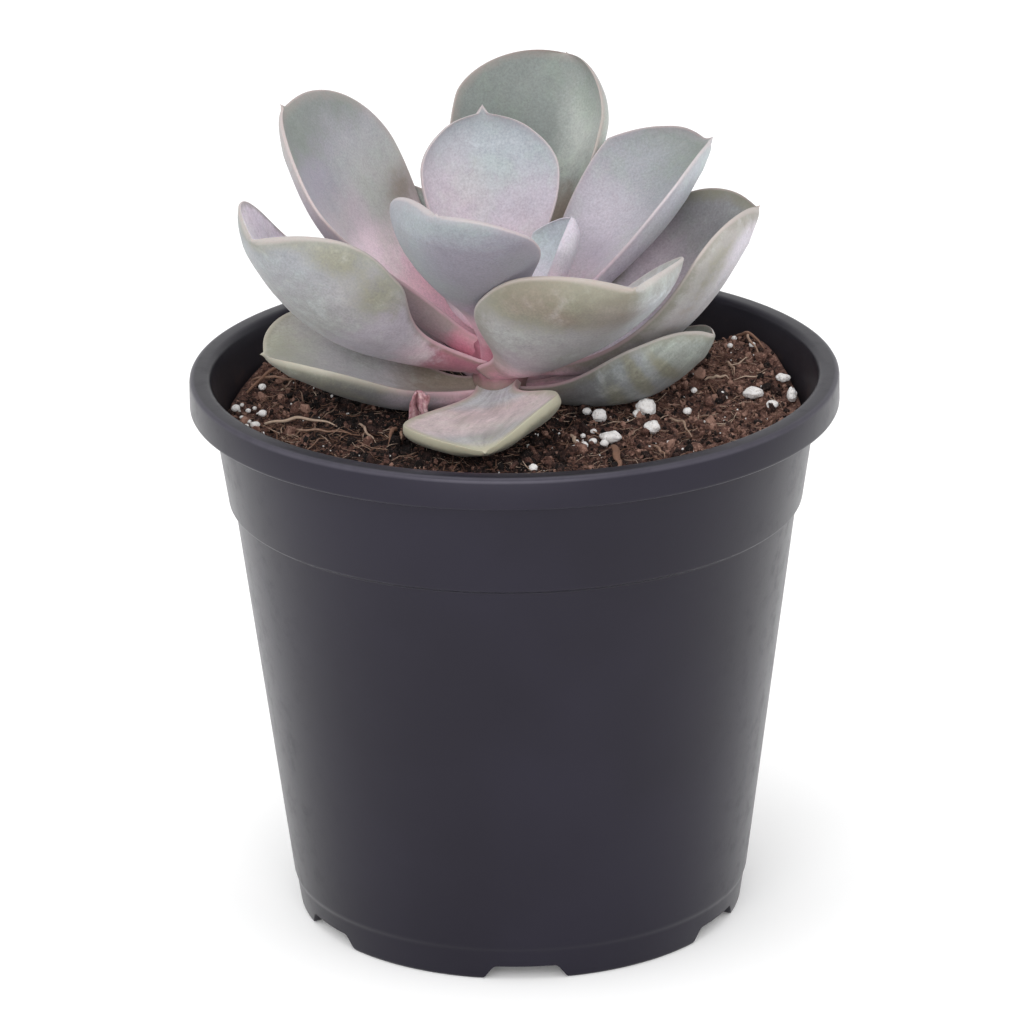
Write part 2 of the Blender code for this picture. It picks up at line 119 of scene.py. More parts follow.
# --- writing shaders ---------------------------------------------------------------------
class Signal:
    """A shader socket that takes part in sums: arithmetic on it adds Math nodes."""

    def __init__(self, recipe: "Recipe", socket: bpy.types.NodeSocket) -> None:
        """Wrap an output socket of a recipe's tree."""
        self.recipe = recipe
        self.socket = socket

    def _math(self, operation: str, *terms: "Signal | Number") -> "Signal":
        """Add one Math node and return its result."""
        return self.recipe.node("ShaderNodeMath", {"operation": operation}, dict(enumerate(terms)))

    def __add__(self, other: "Signal | Number") -> "Signal":
        """This plus the other."""
        return self._math("ADD", self, other)

    __radd__ = __add__

    def __sub__(self, other: "Signal | Number") -> "Signal":
        """This minus the other."""
        return self._math("SUBTRACT", self, other)

    def __rsub__(self, other: Number) -> "Signal":
        """The other minus this."""
        return self._math("SUBTRACT", other, self)

    def __mul__(self, other: "Signal | Number") -> "Signal":
        """This times the other."""
        return self._math("MULTIPLY", self, other)

    __rmul__ = __mul__

    def __truediv__(self, other: "Signal | Number") -> "Signal":
        """This over the other."""
        return self._math("DIVIDE", self, other)

    def __pow__(self, power: Number) -> "Signal":
        """This raised to a power."""
        return self._math("POWER", self, power)

    def __abs__(self) -> "Signal":
        """This without its sign."""
        return self._math("ABSOLUTE", self)

    def step(self, low: Number, high: Number) -> "Signal":
        """A soft step from 0 at low to 1 at high; low may be the larger.

        Args:
            low: the value at which the result is 0.
            high: the value at which the result is 1.

        Returns:
            The eased result between 0 and 1.
        """
        flip = low > high
        ends = {"From Min": min(low, high), "From Max": max(low, high),
                "To Min": 1.0 if flip else 0.0, "To Max": 0.0 if flip else 1.0}
        return self.recipe.node("ShaderNodeMapRange", {"interpolation_type": "SMOOTHSTEP"},
                                {"Value": self, **ends})


class Recipe:
    """A material under construction, with a Principled shader at its end."""

    def __init__(self, name: str) -> None:
        """Start an empty material of this name.

        Args:
            name: the material's name.
        """
        self.material = bpy.data.materials.new(name)
        self.material.use_nodes = True
        self.tree = self.material.node_tree
        self.shader = self.tree.nodes["Principled BSDF"]
        self.place = self.node("ShaderNodeTexCoord", output="Object")

    def node(self, kind: str, settings: dict | None = None, inputs: dict | None = None,
             output: int | str = 0) -> Signal:
        """Add any node.

        Args:
            kind: the node's type.
            settings: its properties, set first; "ramp" holds a colour ramp's stops.
            inputs: values or signals for its sockets, by name or number.
            output: the socket to return.

        Returns:
            The chosen output as a signal.
        """
        made = self.tree.nodes.new(kind)
        for key, value in (settings or {}).items():
            if key == "ramp":
                self._fill_ramp(made.color_ramp, value)
            else:
                setattr(made, key, value)
        for key, value in (inputs or {}).items():
            self.feed(made.inputs[key], value)
        return Signal(self, made.outputs[output])

    @staticmethod
    def _fill_ramp(ramp: bpy.types.ColorRamp, stops: Sequence[tuple[float, Rgb]]) -> None:
        """Give a colour ramp its stops, in order.

        Args:
            ramp: the ramp.
            stops: a position and a colour each.
        """
        ramp.interpolation = "EASE"
        while len(ramp.elements) < len(stops):
            ramp.elements.new(1.0)
        for element, (position, colour) in zip(ramp.elements, stops):
            element.position = position
            element.color = (*colour, 1.0)

    def feed(self, socket: bpy.types.NodeSocket, value: object) -> None:
        """Link a signal to a socket, or set the socket's own value.

        Args:
            socket: the socket.
            value: a signal, a tint, a colour or a number.
        """
        if isinstance(value, Signal):
            self.tree.links.new(value.socket, socket)
        elif isinstance(value, Tint):
            socket.default_value = (*value.value, 1.0)
        elif isinstance(value, tuple) and socket.type == "RGBA":
            socket.default_value = (*value, 1.0)
        else:
            socket.default_value = value

    def attribute(self, name: str, output: str = "Fac") -> Signal:
        """Read a mesh attribute."""
        return self.node("ShaderNodeAttribute", {"attribute_name": name}, output=output)

    def parts(self, name: str) -> tuple[Signal, Signal, Signal]:
        """Read a vector attribute as its three numbers.

        Args:
            name: the attribute's name.

        Returns:
            One signal for each number.
        """
        vector = self.attribute(name, "Vector")
        split = self.node("ShaderNodeSeparateXYZ", None, {0: vector})
        outputs = split.socket.node.outputs
        return tuple(Signal(self, outputs[axis]) for axis in range(3))

    def noise(self, per_mm: float, detail: float = 3.0, roughness: float = 0.55,
              vector: Signal | None = None, shift: Point = (0.0, 0.0, 0.0)) -> Signal:
        """Fractal noise in the object's own space.

        Args:
            per_mm: features per millimetre.
            detail: octaves.
            roughness: how strong the finer octaves are.
            vector: a place to read instead of object coordinates.
            shift: an offset that gives each piece its own pattern.

        Returns:
            Noise about 0.5.
        """
        where = self.node("ShaderNodeMapping", None,
                          {"Vector": vector or self.place, "Location": shift})
        scale = per_mm if vector else per_mm / MM
        return self.node("ShaderNodeTexNoise", None,
                         {"Vector": where, "Scale": scale, "Detail": detail, "Roughness": roughness},
                         "Fac")

    def grey(self, tone: Signal) -> Signal:
        """A grey of this brightness, as a colour."""
        return self.node("ShaderNodeCombineColor", None, {0: tone, 1: tone, 2: tone})

    def blend(self, amount: Signal | Number, first: object, second: object, how: str = "MIX") -> Signal:
        """Mix two colours; how is the Mix node's blend type."""
        return self.node("ShaderNodeMix", {"data_type": "RGBA", "blend_type": how},
                         {0: amount, 6: first, 7: second}, 2)

    def ramp(self, amount: Signal, stops: Sequence[tuple[float, Rgb]]) -> Signal:
        """Turn a number into a colour."""
        return self.node("ShaderNodeValToRGB", {"ramp": stops}, {0: amount})

    def bump(self, height: Signal, depth: float, strength: float = 1.0) -> Signal:
        """A normal from a height in the range 0 to 1; depth is in millimetres."""
        return self.node("ShaderNodeBump", None, {"Height": height, "Distance": depth * MM,
                                                  "Strength": strength})

    def finish(self, colour: object, roughness: object, normal: Signal | None = None,
               **constants: object) -> bpy.types.Material:
        """Set the shader's sockets and return the finished material.

        Args:
            colour: base colour, a signal or a value.
            roughness: roughness, a signal or a value.
            normal: the bumped normal.
            constants: other sockets, by name with underscores for spaces, as plain values.

        Returns:
            The material.
        """
        self.feed(self.shader.inputs["Base Color"], colour)
        self.feed(self.shader.inputs["Roughness"], roughness)
        if normal:
            self.feed(self.shader.inputs["Normal"], normal)
        for key, value in constants.items():
            self.shader.inputs[key.replace("_", " ")].default_value = value
        return self.material


# --- meshes and pieces -------------------------------------------------------------------
def mesh_from(name: str, points: np.ndarray, faces: Sequence[Sequence[int]], smooth: bool = True
              ) -> bpy.types.Mesh:
    """Make a mesh from points in millimetres, with its faces turned outwards.

    Args:
        name: the mesh's name.
        points: an array of XYZ rows.
        faces: corner numbers of each face.
        smooth: whether the faces are smooth shaded.

    Returns:
        The mesh, in metres.
    """
    mesh = bpy.data.meshes.new(name)
    mesh.from_pydata((np.asarray(points, float) * MM).tolist(), [], [list(face) for face in faces])
    shape = bmesh.new()
    shape.from_mesh(mesh)
    bmesh.ops.recalc_face_normals(shape, faces=shape.faces)
    shape.to_mesh(mesh)
    shape.free()
    mesh.polygons.foreach_set("use_smooth", [smooth] * len(mesh.polygons))
    return mesh


def paint(mesh: bpy.types.Mesh, name: str, values: np.ndarray) -> None:
    """Store a number or a vector on each of a mesh's points.

    Args:
        mesh: the mesh.
        name: the attribute's name.
        values: a number, or a row of three, for each point.
    """
    values = np.asarray(values, float)
    kind = "FLOAT" if values.ndim == 1 else "FLOAT_VECTOR"
    attribute = mesh.attributes.new(name, kind, "POINT")
    attribute.data.foreach_set("value" if values.ndim == 1 else "vector", values.ravel())


def place(name: str, mesh: bpy.types.Mesh, material: bpy.types.Material | None = None
          ) -> bpy.types.Object:
    """Link a mesh as an object at the origin, with its material.

    Args:
        name: the object's name.
        mesh: its mesh.
        material: its only material.

    Returns:
        The object.
    """
    thing = bpy.data.objects.new(name, mesh)
    bpy.context.scene.collection.objects.link(thing)
    if material:
        mesh.materials.clear()
        mesh.materials.append(material)
    return thing


def baked(thing: bpy.types.Object, name: str) -> bpy.types.Mesh:
    """Apply an object's modifiers and remove the object, leaving a plain mesh.

    Args:
        thing: the object.
        name: the new mesh's name.

    Returns:
        The mesh.
    """
    view = bpy.context.evaluated_depsgraph_get()
    mesh = bpy.data.meshes.new_from_object(thing.evaluated_get(view), preserve_all_data_layers=True,
                                           depsgraph=view)
    mesh.name = name
    bpy.data.objects.remove(thing, do_unlink=True)
    return mesh


def hand_over(thing: bpy.types.Object, slot: str, *nodes: str) -> None:
    """Fix a finished piece to the frame.

    Args:
        thing: the piece.
        slot: the record's material slot; not used.
        nodes: the CAD nodes that it stands for.
    """
    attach(thing, ROOT)
    if nodes:
        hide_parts(*nodes)
    LOG.info("%s: %d faces, stands for %s", thing.name, len(thing.data.polygons), nodes or "nothing")


def loft(rings: Sequence[np.ndarray], first: np.ndarray, last: np.ndarray
         ) -> tuple[np.ndarray, list[tuple[int, ...]]]:
    """Join rings of equal length into a closed skin with a pole at each end.

    Args:
        rings: arrays of points, each one ring.
        first: the pole before the first ring.
        last: the pole after the last ring.

    Returns:
        The points and the faces.
    """
    size = len(rings[0])
    points = np.vstack([*rings, first[None], last[None]])
    faces: list[tuple[int, ...]] = []
    for row in range(len(rings) - 1):
        base = row * size
        faces += [(base + i, base + (i + 1) % size, base + size + (i + 1) % size, base + size + i)
                  for i in range(size)]
    end = (len(rings) - 1) * size
    pole = len(rings) * size
    faces += [((i + 1) % size, i, pole) for i in range(size)]
    faces += [(end + i, end + (i + 1) % size, pole + 1) for i in range(size)]
    return points, faces


def lumps(points: np.ndarray, size: float, seed: float) -> np.ndarray:
    """Smooth noise from -1 to 1 at points, with lumps of about a size in millimetres."""
    offset = Vector((seed * 7.31, seed * 3.17, seed * 5.77))
    return np.array([noise.noise(Vector(point) / size + offset) for point in np.atleast_2d(points)])


# --- the leaves --------------------------------------------------------------------------
class MarkKind(Enum):
    """What a mark on a leaf is: its channel in the marks attribute, and its tint."""

    OLIVE = (0, Tint.OLIVE)
    UMBER = (1, Tint.UMBER)
    FLUSH = (2, Tint.PURPLE)

    @property
    def channel(self) -> int:
        """The number of the channel that holds the mark."""
        return self.value[0]

    @property
    def tint(self) -> Tint:
        """The mark's colour."""
        return self.value[1]


class Side(Enum):
    """The side of a leaf that a mark lies on; the value is its place in the blade attribute."""

    UPPER = 0.0
    LOWER = 1.0


@dataclass(frozen=True)
class Mark:
    """A soft-edged patch on a leaf, placed as shares of its length and half width."""

    mark_kind: MarkKind
    side: Side
    along: float
    across: float
    length: float
    width: float
    strength: float = 1.0

    def weight(self, along: np.ndarray, across: np.ndarray, under: np.ndarray) -> np.ndarray:
        """How strongly the mark covers each point.

        Args:
            along: the points' places along the leaf, 0 at the foot and 1 at the tip.
            across: their places across it, -1 and 1 on the margins.
            under: their side, 0 on the upper and 1 on the lower.

        Returns:
            A weight for each point.
        """
        spread = ((along - self.along) / self.length) ** 2 + ((across - self.across) / self.width) ** 2
        near = np.clip(1.0 - np.abs(under - self.side.value) * 1.6, 0.0, 1.0)
        return self.strength * np.exp(-spread) * near


Stops = tuple[tuple[float, Tint], ...]


@dataclass(frozen=True)
class Skin:
    """The colours of one leaf from foot to tip, on both sides, and of its margin.

    half is a tint laid over one side of the midrib, the left when half_weight is positive and
    the right when it is negative, within half_span. tone is how light the upper and lower
    sides are. border is a soft band of another tint, border_width millimetres wide, within
    the margin. scuffed and streaked are how patchy and how lengthwise the bloom is, and scar
    the place along the leaf of a dry pale scratch across it.
    """

    upper: Stops
    lower: Stops
    margin: Tint = Tint.BLUSH
    margin_width: float = 0.32
    half: Tint = Tint.FROST
    half_weight: float = 0.0
    half_span: tuple[float, float] = (0.3, 2.0)
    tone: tuple[float, float] = (1.0, 1.0)
    border: Tint = Tint.TAN
    border_width: float = 1.8
    border_weight: float = 0.30
    scuffed: float = 0.5
    streaked: float = 0.15
    scar: float | None = None
    marks: tuple[Mark, ...] = ()

    def material(self, name: str, seed: float) -> bpy.types.Material:
        """Build the leaf's material.

        Args:
            name: the leaf's name.
            seed: an offset so that no two leaves share their pattern.

        Returns:
            A matt, slightly translucent skin with a powdery bloom.
        """
        mix = Recipe(f"{name}_skin")
        along, across, under = mix.parts("blade")
        margin = mix.attribute("margin")
        shift = (seed * 0.013, seed * 0.029, seed * 0.017)
        cloud = mix.noise(0.10, 2.0, 0.5, shift=shift)
        mottle = mix.noise(0.45, 4.0, 0.62, shift=shift)
        grain = mix.noise(2.4, 3.0, 0.7, shift=shift)
        cells = mix.node("ShaderNodeCombineXYZ", None,
                         {0: across * 7.0 + along * 5.0, 1: along * 2.5 - across, 2: seed * 3.7})
        streaks = mix.noise(1.0, 4.0, 0.65, vector=cells)
        reach = along + (cloud - 0.5) * 0.16 + (mottle - 0.5) * 0.10
        below = under.step(0.35, 0.65)
        sides = [mix.ramp(reach, [(at, tuple(part * light for part in tint.value))
                                  for at, tint in stops])
                 for stops, light in zip((self.upper, self.lower), self.tone)]
        colour = mix.blend(below, *sides)
        if self.half_weight:
            way = 1.0 if self.half_weight > 0 else -1.0
            side = (across * way + (cloud - 0.5) * 0.5).step(-0.1, 0.4)
            start, end = self.half_span
            lit = side * reach.step(start - 0.12, start + 0.15) * reach.step(end + 0.15, end - 0.12)
            colour = mix.blend(lit * abs(self.half_weight), colour, self.half)
        green = (cloud * 0.6 + mottle * 0.4).step(0.46, 0.62)
        colour = mix.blend(green * 0.4, colour, (0.92, 1.02, 0.88), "MULTIPLY")
        for mark_kind, weight in zip((MarkKind.OLIVE, MarkKind.UMBER, MarkKind.FLUSH), mix.parts("marks")):
            patch = (weight + ((mottle - 0.5) * 1.0 + (grain - 0.5) * 0.4) * weight.step(0.0, 0.5))
            colour = mix.blend(patch.step(0.08, 0.95) * 0.85, colour, mark_kind.tint)
        dust = ((cloud - 0.5) * 1.2 + (mottle - 0.5) * 1.2 + (streaks - 0.5) * 0.4).step(0.02, 0.5)
        colour = mix.blend(dust * 0.20 * self.scuffed, colour, Tint.FROST)
        rub_wear_and_painted_highlight = streaks.step(0.60, 0.68) * (cloud + mottle * 0.5).step(0.72, 0.86) * self.scuffed
        colour = mix.blend(rub_wear_and_painted_highlight * 0.35, colour, Tint.OLIVE)
        if self.scar:
            line = abs(along - self.scar + (cloud - 0.5) * 0.10 + (streaks - 0.5) * 0.03)
            broken = mottle.step(0.36, 0.60) * abs(across + 0.15).step(0.85, 0.5)
            worn = line.step(0.010, 0.002) * broken
            colour = mix.blend(worn * 0.16, colour, (0.60, 0.62, 0.66))
        tone = 1.0 + (mottle - 0.5) * (0.26 + 0.40 * self.scuffed)
        tone = tone + (grain - 0.5) * 0.8 + (streaks - 0.5) * self.streaked
        colour = mix.blend(1.0, colour, mix.grey(tone), "MULTIPLY")
        band = (margin + (mottle - 0.5) * self.border_width).step(self.border_width, 0.1)
        colour = mix.blend(band * self.border_weight, colour, self.border)
        rim = (margin + (mottle - 0.5) * 0.3).step(self.margin_width * 1.5, self.margin_width * 0.1)
        colour = mix.blend(rim * 0.48, colour, mix.blend(along.step(0.5, 0.2), self.margin, Tint.ROSE))
        roughness = 0.50 + mottle * 0.14 + dust * 0.10 - rim * 0.08
        height = cloud * 0.5 + mottle * 0.4 + streaks * 0.3 + grain * 0.08
        return mix.finish(colour, roughness, mix.bump(height, 0.2, 0.6), Subsurface_Weight=0.10,
                          Subsurface_Radius=(1.0, 0.45, 0.40), Subsurface_Scale=1.6 * MM,
                          Specular_IOR_Level=0.38, Sheen_Weight=0.10, Sheen_Roughness=0.6)


RIB_STEPS = 160
BURIED_STEPS = 32
LIP_SHARE = 0.45
LIP_ANGLES = (0.0, 25.0, 50.0, 72.0, 90.0)
RIM_SAMPLES = 8
FAR_FROM_RIM = 5.0


@dataclass(frozen=True)
class Leaf:
    """One leaf, given the way a grower would describe it.

    heading is the direction it leaves the stem (0 is +X, 90 is +Y), foot the height of its
    foot, and rise the slope of its midrib at foot, middle and tip. cup is the angle, in
    radians, that half the blade bends through, foot_cup the same at the foot, and lean makes
    the left side more cupped than the right. neck and mucro are the narrow foot, as a share
    of the width, and the small point at the tip. edge is half the margin's thickness.
    """

    name: str
    slot: str
    skin: Skin
    heading: float
    foot: float
    rise: tuple[float, float, float]
    length: float
    width: float
    widest: float = 0.68
    cup: float = 0.78
    foot_cup: float = 0.78
    roll: float = 0.0
    twist: float = 0.0
    sweep: float = 0.0
    lean: float = 0.0
    curl: float = 0.0
    neck: float = 0.2
    blunt: float = 2.3
    shoulder: float = 0.5
    mucro: float = 1.4
    thickness: float = 3.0
    waist: float = 1.6
    root: float = 3.5
    edge: float = 0.24
    fullness: float = 1.0
    keel: float = 0.2
    rows: int = 72
    columns: int = 26

    def half_width(self, share: np.ndarray) -> np.ndarray:
        """Half the blade's width along its length, in millimetres.

        Args:
            share: places along the leaf, 0 at the foot and 1 at the tip.

        Returns:
            One half width for each place.
        """
        tip_zone = self.mucro / self.length
        climb = np.sin(np.clip(share / self.widest, 0, 1) * pi / 2) ** self.waist
        climb = self.neck + (1 - self.neck) * climb
        end = 1 - 0.6 * tip_zone
        past = np.clip((share - self.widest) / (end - self.widest), 0, 1)
        narrowed = np.clip(1 - past ** self.blunt, 0, 1) ** self.shoulder
        blade = np.where(share < self.widest, climb, narrowed)
        out = ((1 - share) / tip_zone).clip(0, 2)
        cusp = self.mucro * (0.40 * out + 0.36 * out ** 2) * (2 - out).clip(0, 1)
        return np.hypot(blade * self.width / 2, cusp)

    def midrib(self, share: np.ndarray) -> tuple[np.ndarray, np.ndarray, np.ndarray]:
        """Points of the midrib with its side and upward directions.

        Args:
            share: places along the leaf, 0 at the foot and 1 at the tip.

        Returns:
            Centre points, side directions and upward directions, one row for each share.
        """
        fine = np.linspace(-BURIED_STEPS / RIB_STEPS, 1.0, BURIED_STEPS + RIB_STEPS + 1)
        grown = fine.clip(0.0)
        tip_bend = self.curl * np.clip((grown - 0.7) / 0.3, 0, 1) ** 2
        slope = np.radians(parabola(*self.rise, grown) + tip_bend)
        turn = np.radians(self.heading + self.sweep * grown)
        ahead = np.stack([np.cos(slope) * np.cos(turn), np.cos(slope) * np.sin(turn), np.sin(slope)], 1)
        steps = (ahead[1:] + ahead[:-1]) / 2 * self.length / RIB_STEPS
        path = np.vstack([np.zeros(3), np.cumsum(steps, 0)])
        path += Stem.seat(self.heading, self.foot) - path[BURIED_STEPS]
        centre = np.stack([np.interp(share, fine, path[:, axis]) for axis in range(3)], 1)
        ahead = np.stack([np.interp(share, fine, ahead[:, axis]) for axis in range(3)], 1)
        turn = np.radians(self.heading + self.sweep * share.clip(0.0))
        side = np.stack([-np.sin(turn), np.cos(turn), np.zeros_like(turn)], 1)
        upward = np.cross(ahead, side)
        tilt = np.radians(self.roll + self.twist * share)[:, None]
        return (centre, side * np.cos(tilt) + upward * np.sin(tilt),
                upward * np.cos(tilt) - side * np.sin(tilt))

    def lip(self, half: np.ndarray) -> np.ndarray:
        """Radius of each row's rounded margin, less where the leaf is narrow."""
        return np.minimum(self.edge, half * LIP_SHARE)[:, None]

    def stations(self, half: np.ndarray) -> tuple[np.ndarray, np.ndarray]:
        """Where the points of each row stand across the blade.

        Args:
            half: half width of each row, in millimetres.

        Returns:
            Shares of the half width from -1 to 1, and how far each has come out of the rounded
            margin, from 0 on the edge to 1 on the face.
        """
        bend = np.radians(LIP_ANGLES)
        inset = self.lip(half) * (1 - np.cos(bend)) / half[:, None]
        start = 1 - inset[:, -1:]
        inner = start * np.sin(np.linspace(-1, 1, self.columns)[1:-1] * pi / 2)
        across = np.hstack([inset - 1, inner, (1 - inset)[:, ::-1]])
        rise = np.hstack([np.sin(bend), np.ones(self.columns - 2), np.sin(bend)[::-1]])
        return across, np.broadcast_to(rise, across.shape)

    def mesh(self) -> bpy.types.Mesh:
        """The closed leaf with its blade, margin and marks attributes.

        Returns:
            The mesh, in metres.
        """
        start = -self.root / self.length
        share = start + (1 - start) * np.sin(np.linspace(0, 1, self.rows + 1)[:-1] * pi / 2) ** 1.1
        centre, side, upward = self.midrib(share)
        half = self.half_width(share)
        across, rise = self.stations(half)
        bend = parabola(self.foot_cup, self.cup, self.cup, share.clip(0))[:, None]
        bend = bend * (1 + self.lean * across)
        out = half[:, None] * np.sin(bend * across) / bend
        lift = half[:, None] * (1 - np.cos(bend * across)) / bend
        lift += self._waves(share[:, None], across)
        face = centre[:, None] + side[:, None] * out[..., None] + upward[:, None] * lift[..., None]
        normal = (upward[:, None] * np.cos(bend * across)[..., None]
                  - side[:, None] * np.sin(bend * across)[..., None])
        lip = self.lip(half) * rise
        upper = face + normal * (0.5 * lip)[..., None]
        depth = self._depth(share, half, across)
        lower = face - normal * (depth + 1.5 * lip)[..., None]
        rings = [np.vstack([upper[row], lower[row, -2:0:-1]]) for row in range(self.rows)]
        tip = self.midrib(np.array([1.0]))[0][0]
        points, faces = loft(rings, (upper[0].mean(0) + lower[0].mean(0)) / 2, tip)
        mesh = mesh_from(self.name, points, faces)
        self._paint(mesh, share, across, rise, half, depth)
        return mesh

    def _waves(self, share: np.ndarray, across: np.ndarray) -> np.ndarray:
        """A slight unevenness of the blade, in millimetres.

        Args:
            share: places along the leaf.
            across: places across it.

        Returns:
            How far each point is lifted.
        """
        seed = self.heading * 0.37
        swell = (np.sin(share * 7.0 + across * 2.1 + seed)
                 + 0.6 * np.sin(share * 13.0 - across * 4.3 + seed * 2))
        return 0.14 * swell * np.clip(share * 3, 0, 1) * np.clip((1 - share) * 6, 0, 1)

    def _depth(self, share: np.ndarray, half: np.ndarray, across: np.ndarray) -> np.ndarray:
        """How thick the flesh is under each point of the face, beyond the margin's thickness.

        Args:
            share: each row's place along the leaf.
            half: each row's half width.
            across: the points' places across each row.

        Returns:
            The thickness at each point, in millimetres.
        """
        swell = 0.62 + 0.63 * np.sin(pi * share.clip(0) ** 0.8)
        body = self.thickness * swell * np.clip((1 - share) / 0.12, 0, 1) ** 0.6
        body = np.minimum(body - 2 * self.edge * 0.6, 1.5 * half).clip(0.02)[:, None]
        ridge = self.keel * np.exp(-(across / 0.09) ** 2) * np.clip((share[:, None] - 0.25) * 2, 0, 1)
        body = body * (1 - np.abs(across) ** 2.3).clip(0) ** self.fullness
        return body + ridge * np.clip(half[:, None] / 6, 0, 1)

    def _paint(self, mesh: bpy.types.Mesh, share: np.ndarray, across: np.ndarray, rise: np.ndarray,
               half: np.ndarray, depth: np.ndarray) -> None:
        """Store the attributes that the skin reads.

        Args:
            mesh: the leaf's mesh.
            share: each row's place along the leaf.
            across: the points' places across each row.
            rise: how far each point has come out of the rounded margin.
            half: each row's half width.
            depth: the thickness at each point.
        """
        ring = np.hstack([across, across[:, -2:0:-1]])
        under = np.hstack([0.5 - 0.5 * rise, (0.5 + 0.5 * rise)[:, -2:0:-1]])
        along = np.broadcast_to(share[:, None], ring.shape)
        flat = np.stack([ring * half[:, None], along * self.length], -1).reshape(-1, 2)
        row = np.arange(self.rows)
        fine = np.linspace(0, self.rows - 1, self.rows * RIM_SAMPLES)
        rim = np.stack([np.interp(fine, row, half), np.interp(fine, row, share) * self.length], 1)
        gap = np.hypot(np.abs(flat[:, None, 0]) - rim[None, :, 0],
                       flat[:, None, 1] - rim[None, :, 1]).min(1)
        gap = np.hypot(gap, np.hstack([depth * 0, depth[:, -2:0:-1]]).ravel())
        ends = [[0.0, 0.0, 0.5], [1.0, 0.0, 0.5]]
        blade = np.vstack([np.stack([along, ring, under], -1).reshape(-1, 3), ends])
        marks = np.zeros((len(blade), 3))
        for mark in self.skin.marks:
            marks[:, mark.mark_kind.channel] += mark.weight(*blade.T)
        paint(mesh, "blade", blade)
        paint(mesh, "margin", np.append(gap, [FAR_FROM_RIM, 0.0]))
        paint(mesh, "marks", marks)

    def build(self, seed: float) -> None:
        """Make the leaf and fix it to the frame."""
        thing = place(f"{self.name}_blade", self.mesh(), self.skin.material(self.name, seed))
        hand_over(thing, self.slot, self.name)


def parabola(start: float, middle: float, end: float, share: np.ndarray) -> np.ndarray:
    """The parabola through a value at the start, the middle and the end."""
    return (start * (1 - share) * (1 - 2 * share) + middle * 4 * share * (1 - share)
            + end * share * (2 * share - 1))


LAVENDER, GREY, OLIVE = "leaf_lavender", "leaf_grey_green", "leaf_olive"
PALE_UNDER: Stops = ((0.0, Tint.ROSE), (0.25, Tint.PINK), (0.5, Tint.STONE), (1.0, Tint.BLUE_GREY))
HEART = Skin(((0.0, Tint.ROSE), (0.3, Tint.PINK), (0.6, Tint.LILAC), (1.0, Tint.PALE_BLUE)), PALE_UNDER)
HEART_RIGHT = Skin(((0.0, Tint.ROSE), (0.35, Tint.LILAC), (0.7, Tint.PALE_BLUE), (1.0, Tint.PALE_BLUE)),
                   ((0.0, Tint.ROSE), (0.35, Tint.PINK), (0.7, Tint.LILAC), (1.0, Tint.LILAC)),
                   margin=Tint.LILAC, tone=(1.34, 1.3), border_weight=0.0, scuffed=0.2)
HIDDEN_LOW = Skin(((0.0, Tint.ROSE), (0.3, Tint.MAUVE), (0.65, Tint.BLUE_GREY), (1.0, Tint.GREY_GREEN)),
                  ((0.0, Tint.ROSE), (0.3, Tint.MAUVE), (0.7, Tint.STONE), (1.0, Tint.GREY_GREEN)))
CENTRE_BACK = Skin(((0.0, Tint.ROSE), (0.25, Tint.PINK), (0.56, Tint.LILAC), (0.80, Tint.PALE_BLUE),
                    (0.99, Tint.TEAL_GREY)), PALE_UNDER, half=Tint.PINK, half_weight=0.3,
                   half_span=(0.3, 0.8), tone=(0.96, 1.0), border=Tint.MAUVE, scar=0.82)
CENTRE_FRONT = Skin(((0.0, Tint.ROSE), (0.3, Tint.PINK), (0.7, Tint.LILAC), (1.0, Tint.BLUE_GREY)),
                    ((0.0, Tint.DEEP_ROSE), (0.18, Tint.ROSE), (0.34, Tint.MAUVE), (0.52, Tint.DUSK),
                     (0.80, Tint.DUSK), (0.99, Tint.TEAL_GREY)), half=Tint.TEAL_GREY, half_weight=-0.5,
                    half_span=(0.45, 2.0), tone=(1.0, 0.82), border=Tint.MAUVE, scuffed=0.2,
                    marks=(Mark(MarkKind.FLUSH, Side.LOWER, 0.38, 0.0, 0.09, 0.9, 0.6),))
# The umber mark by its margin halfway along is a painted shadow.
LEFT_TALL = Skin(((0.0, Tint.ROSE), (0.26, Tint.ROSE), (0.42, Tint.PINK), (0.58, Tint.MAUVE),
                  (0.74, Tint.DUSK), (0.90, Tint.DEEP_SAGE)),
                 ((0.0, Tint.DEEP_ROSE), (0.10, Tint.WARM_GREY), (0.45, Tint.WARM_GREY),
                  (0.6, Tint.MAUVE), (1.0, Tint.STONE)), half=Tint.PALE_SAGE, half_weight=-0.6,
                 half_span=(0.46, 0.76), tone=(1.14, 0.86), border_width=2.6, border_weight=0.4,
                 scuffed=0.3,
                 marks=(Mark(MarkKind.UMBER, Side.UPPER, 0.53, -0.80, 0.08, 0.30, 0.85),))
# The purple flush mark on its upper face is painted shade in its hollow beside the heart leaf.
RIGHT_TALL = Skin(((0.0, Tint.ROSE), (0.2, Tint.PINK), (0.45, Tint.LILAC), (0.74, Tint.BLUE_GREY),
                   (0.96, Tint.SAGE)), ((0.0, Tint.ROSE), (0.3, Tint.LILAC), (1.0, Tint.PALE_BLUE)),
                  half=Tint.LILAC, half_weight=0.4, half_span=(0.35, 0.68), tone=(1.02, 1.24),
                  border=Tint.MAUVE, scuffed=0.2,
                  marks=(Mark(MarkKind.FLUSH, Side.UPPER, 0.42, 0.15, 0.10, 0.50, 0.4),))
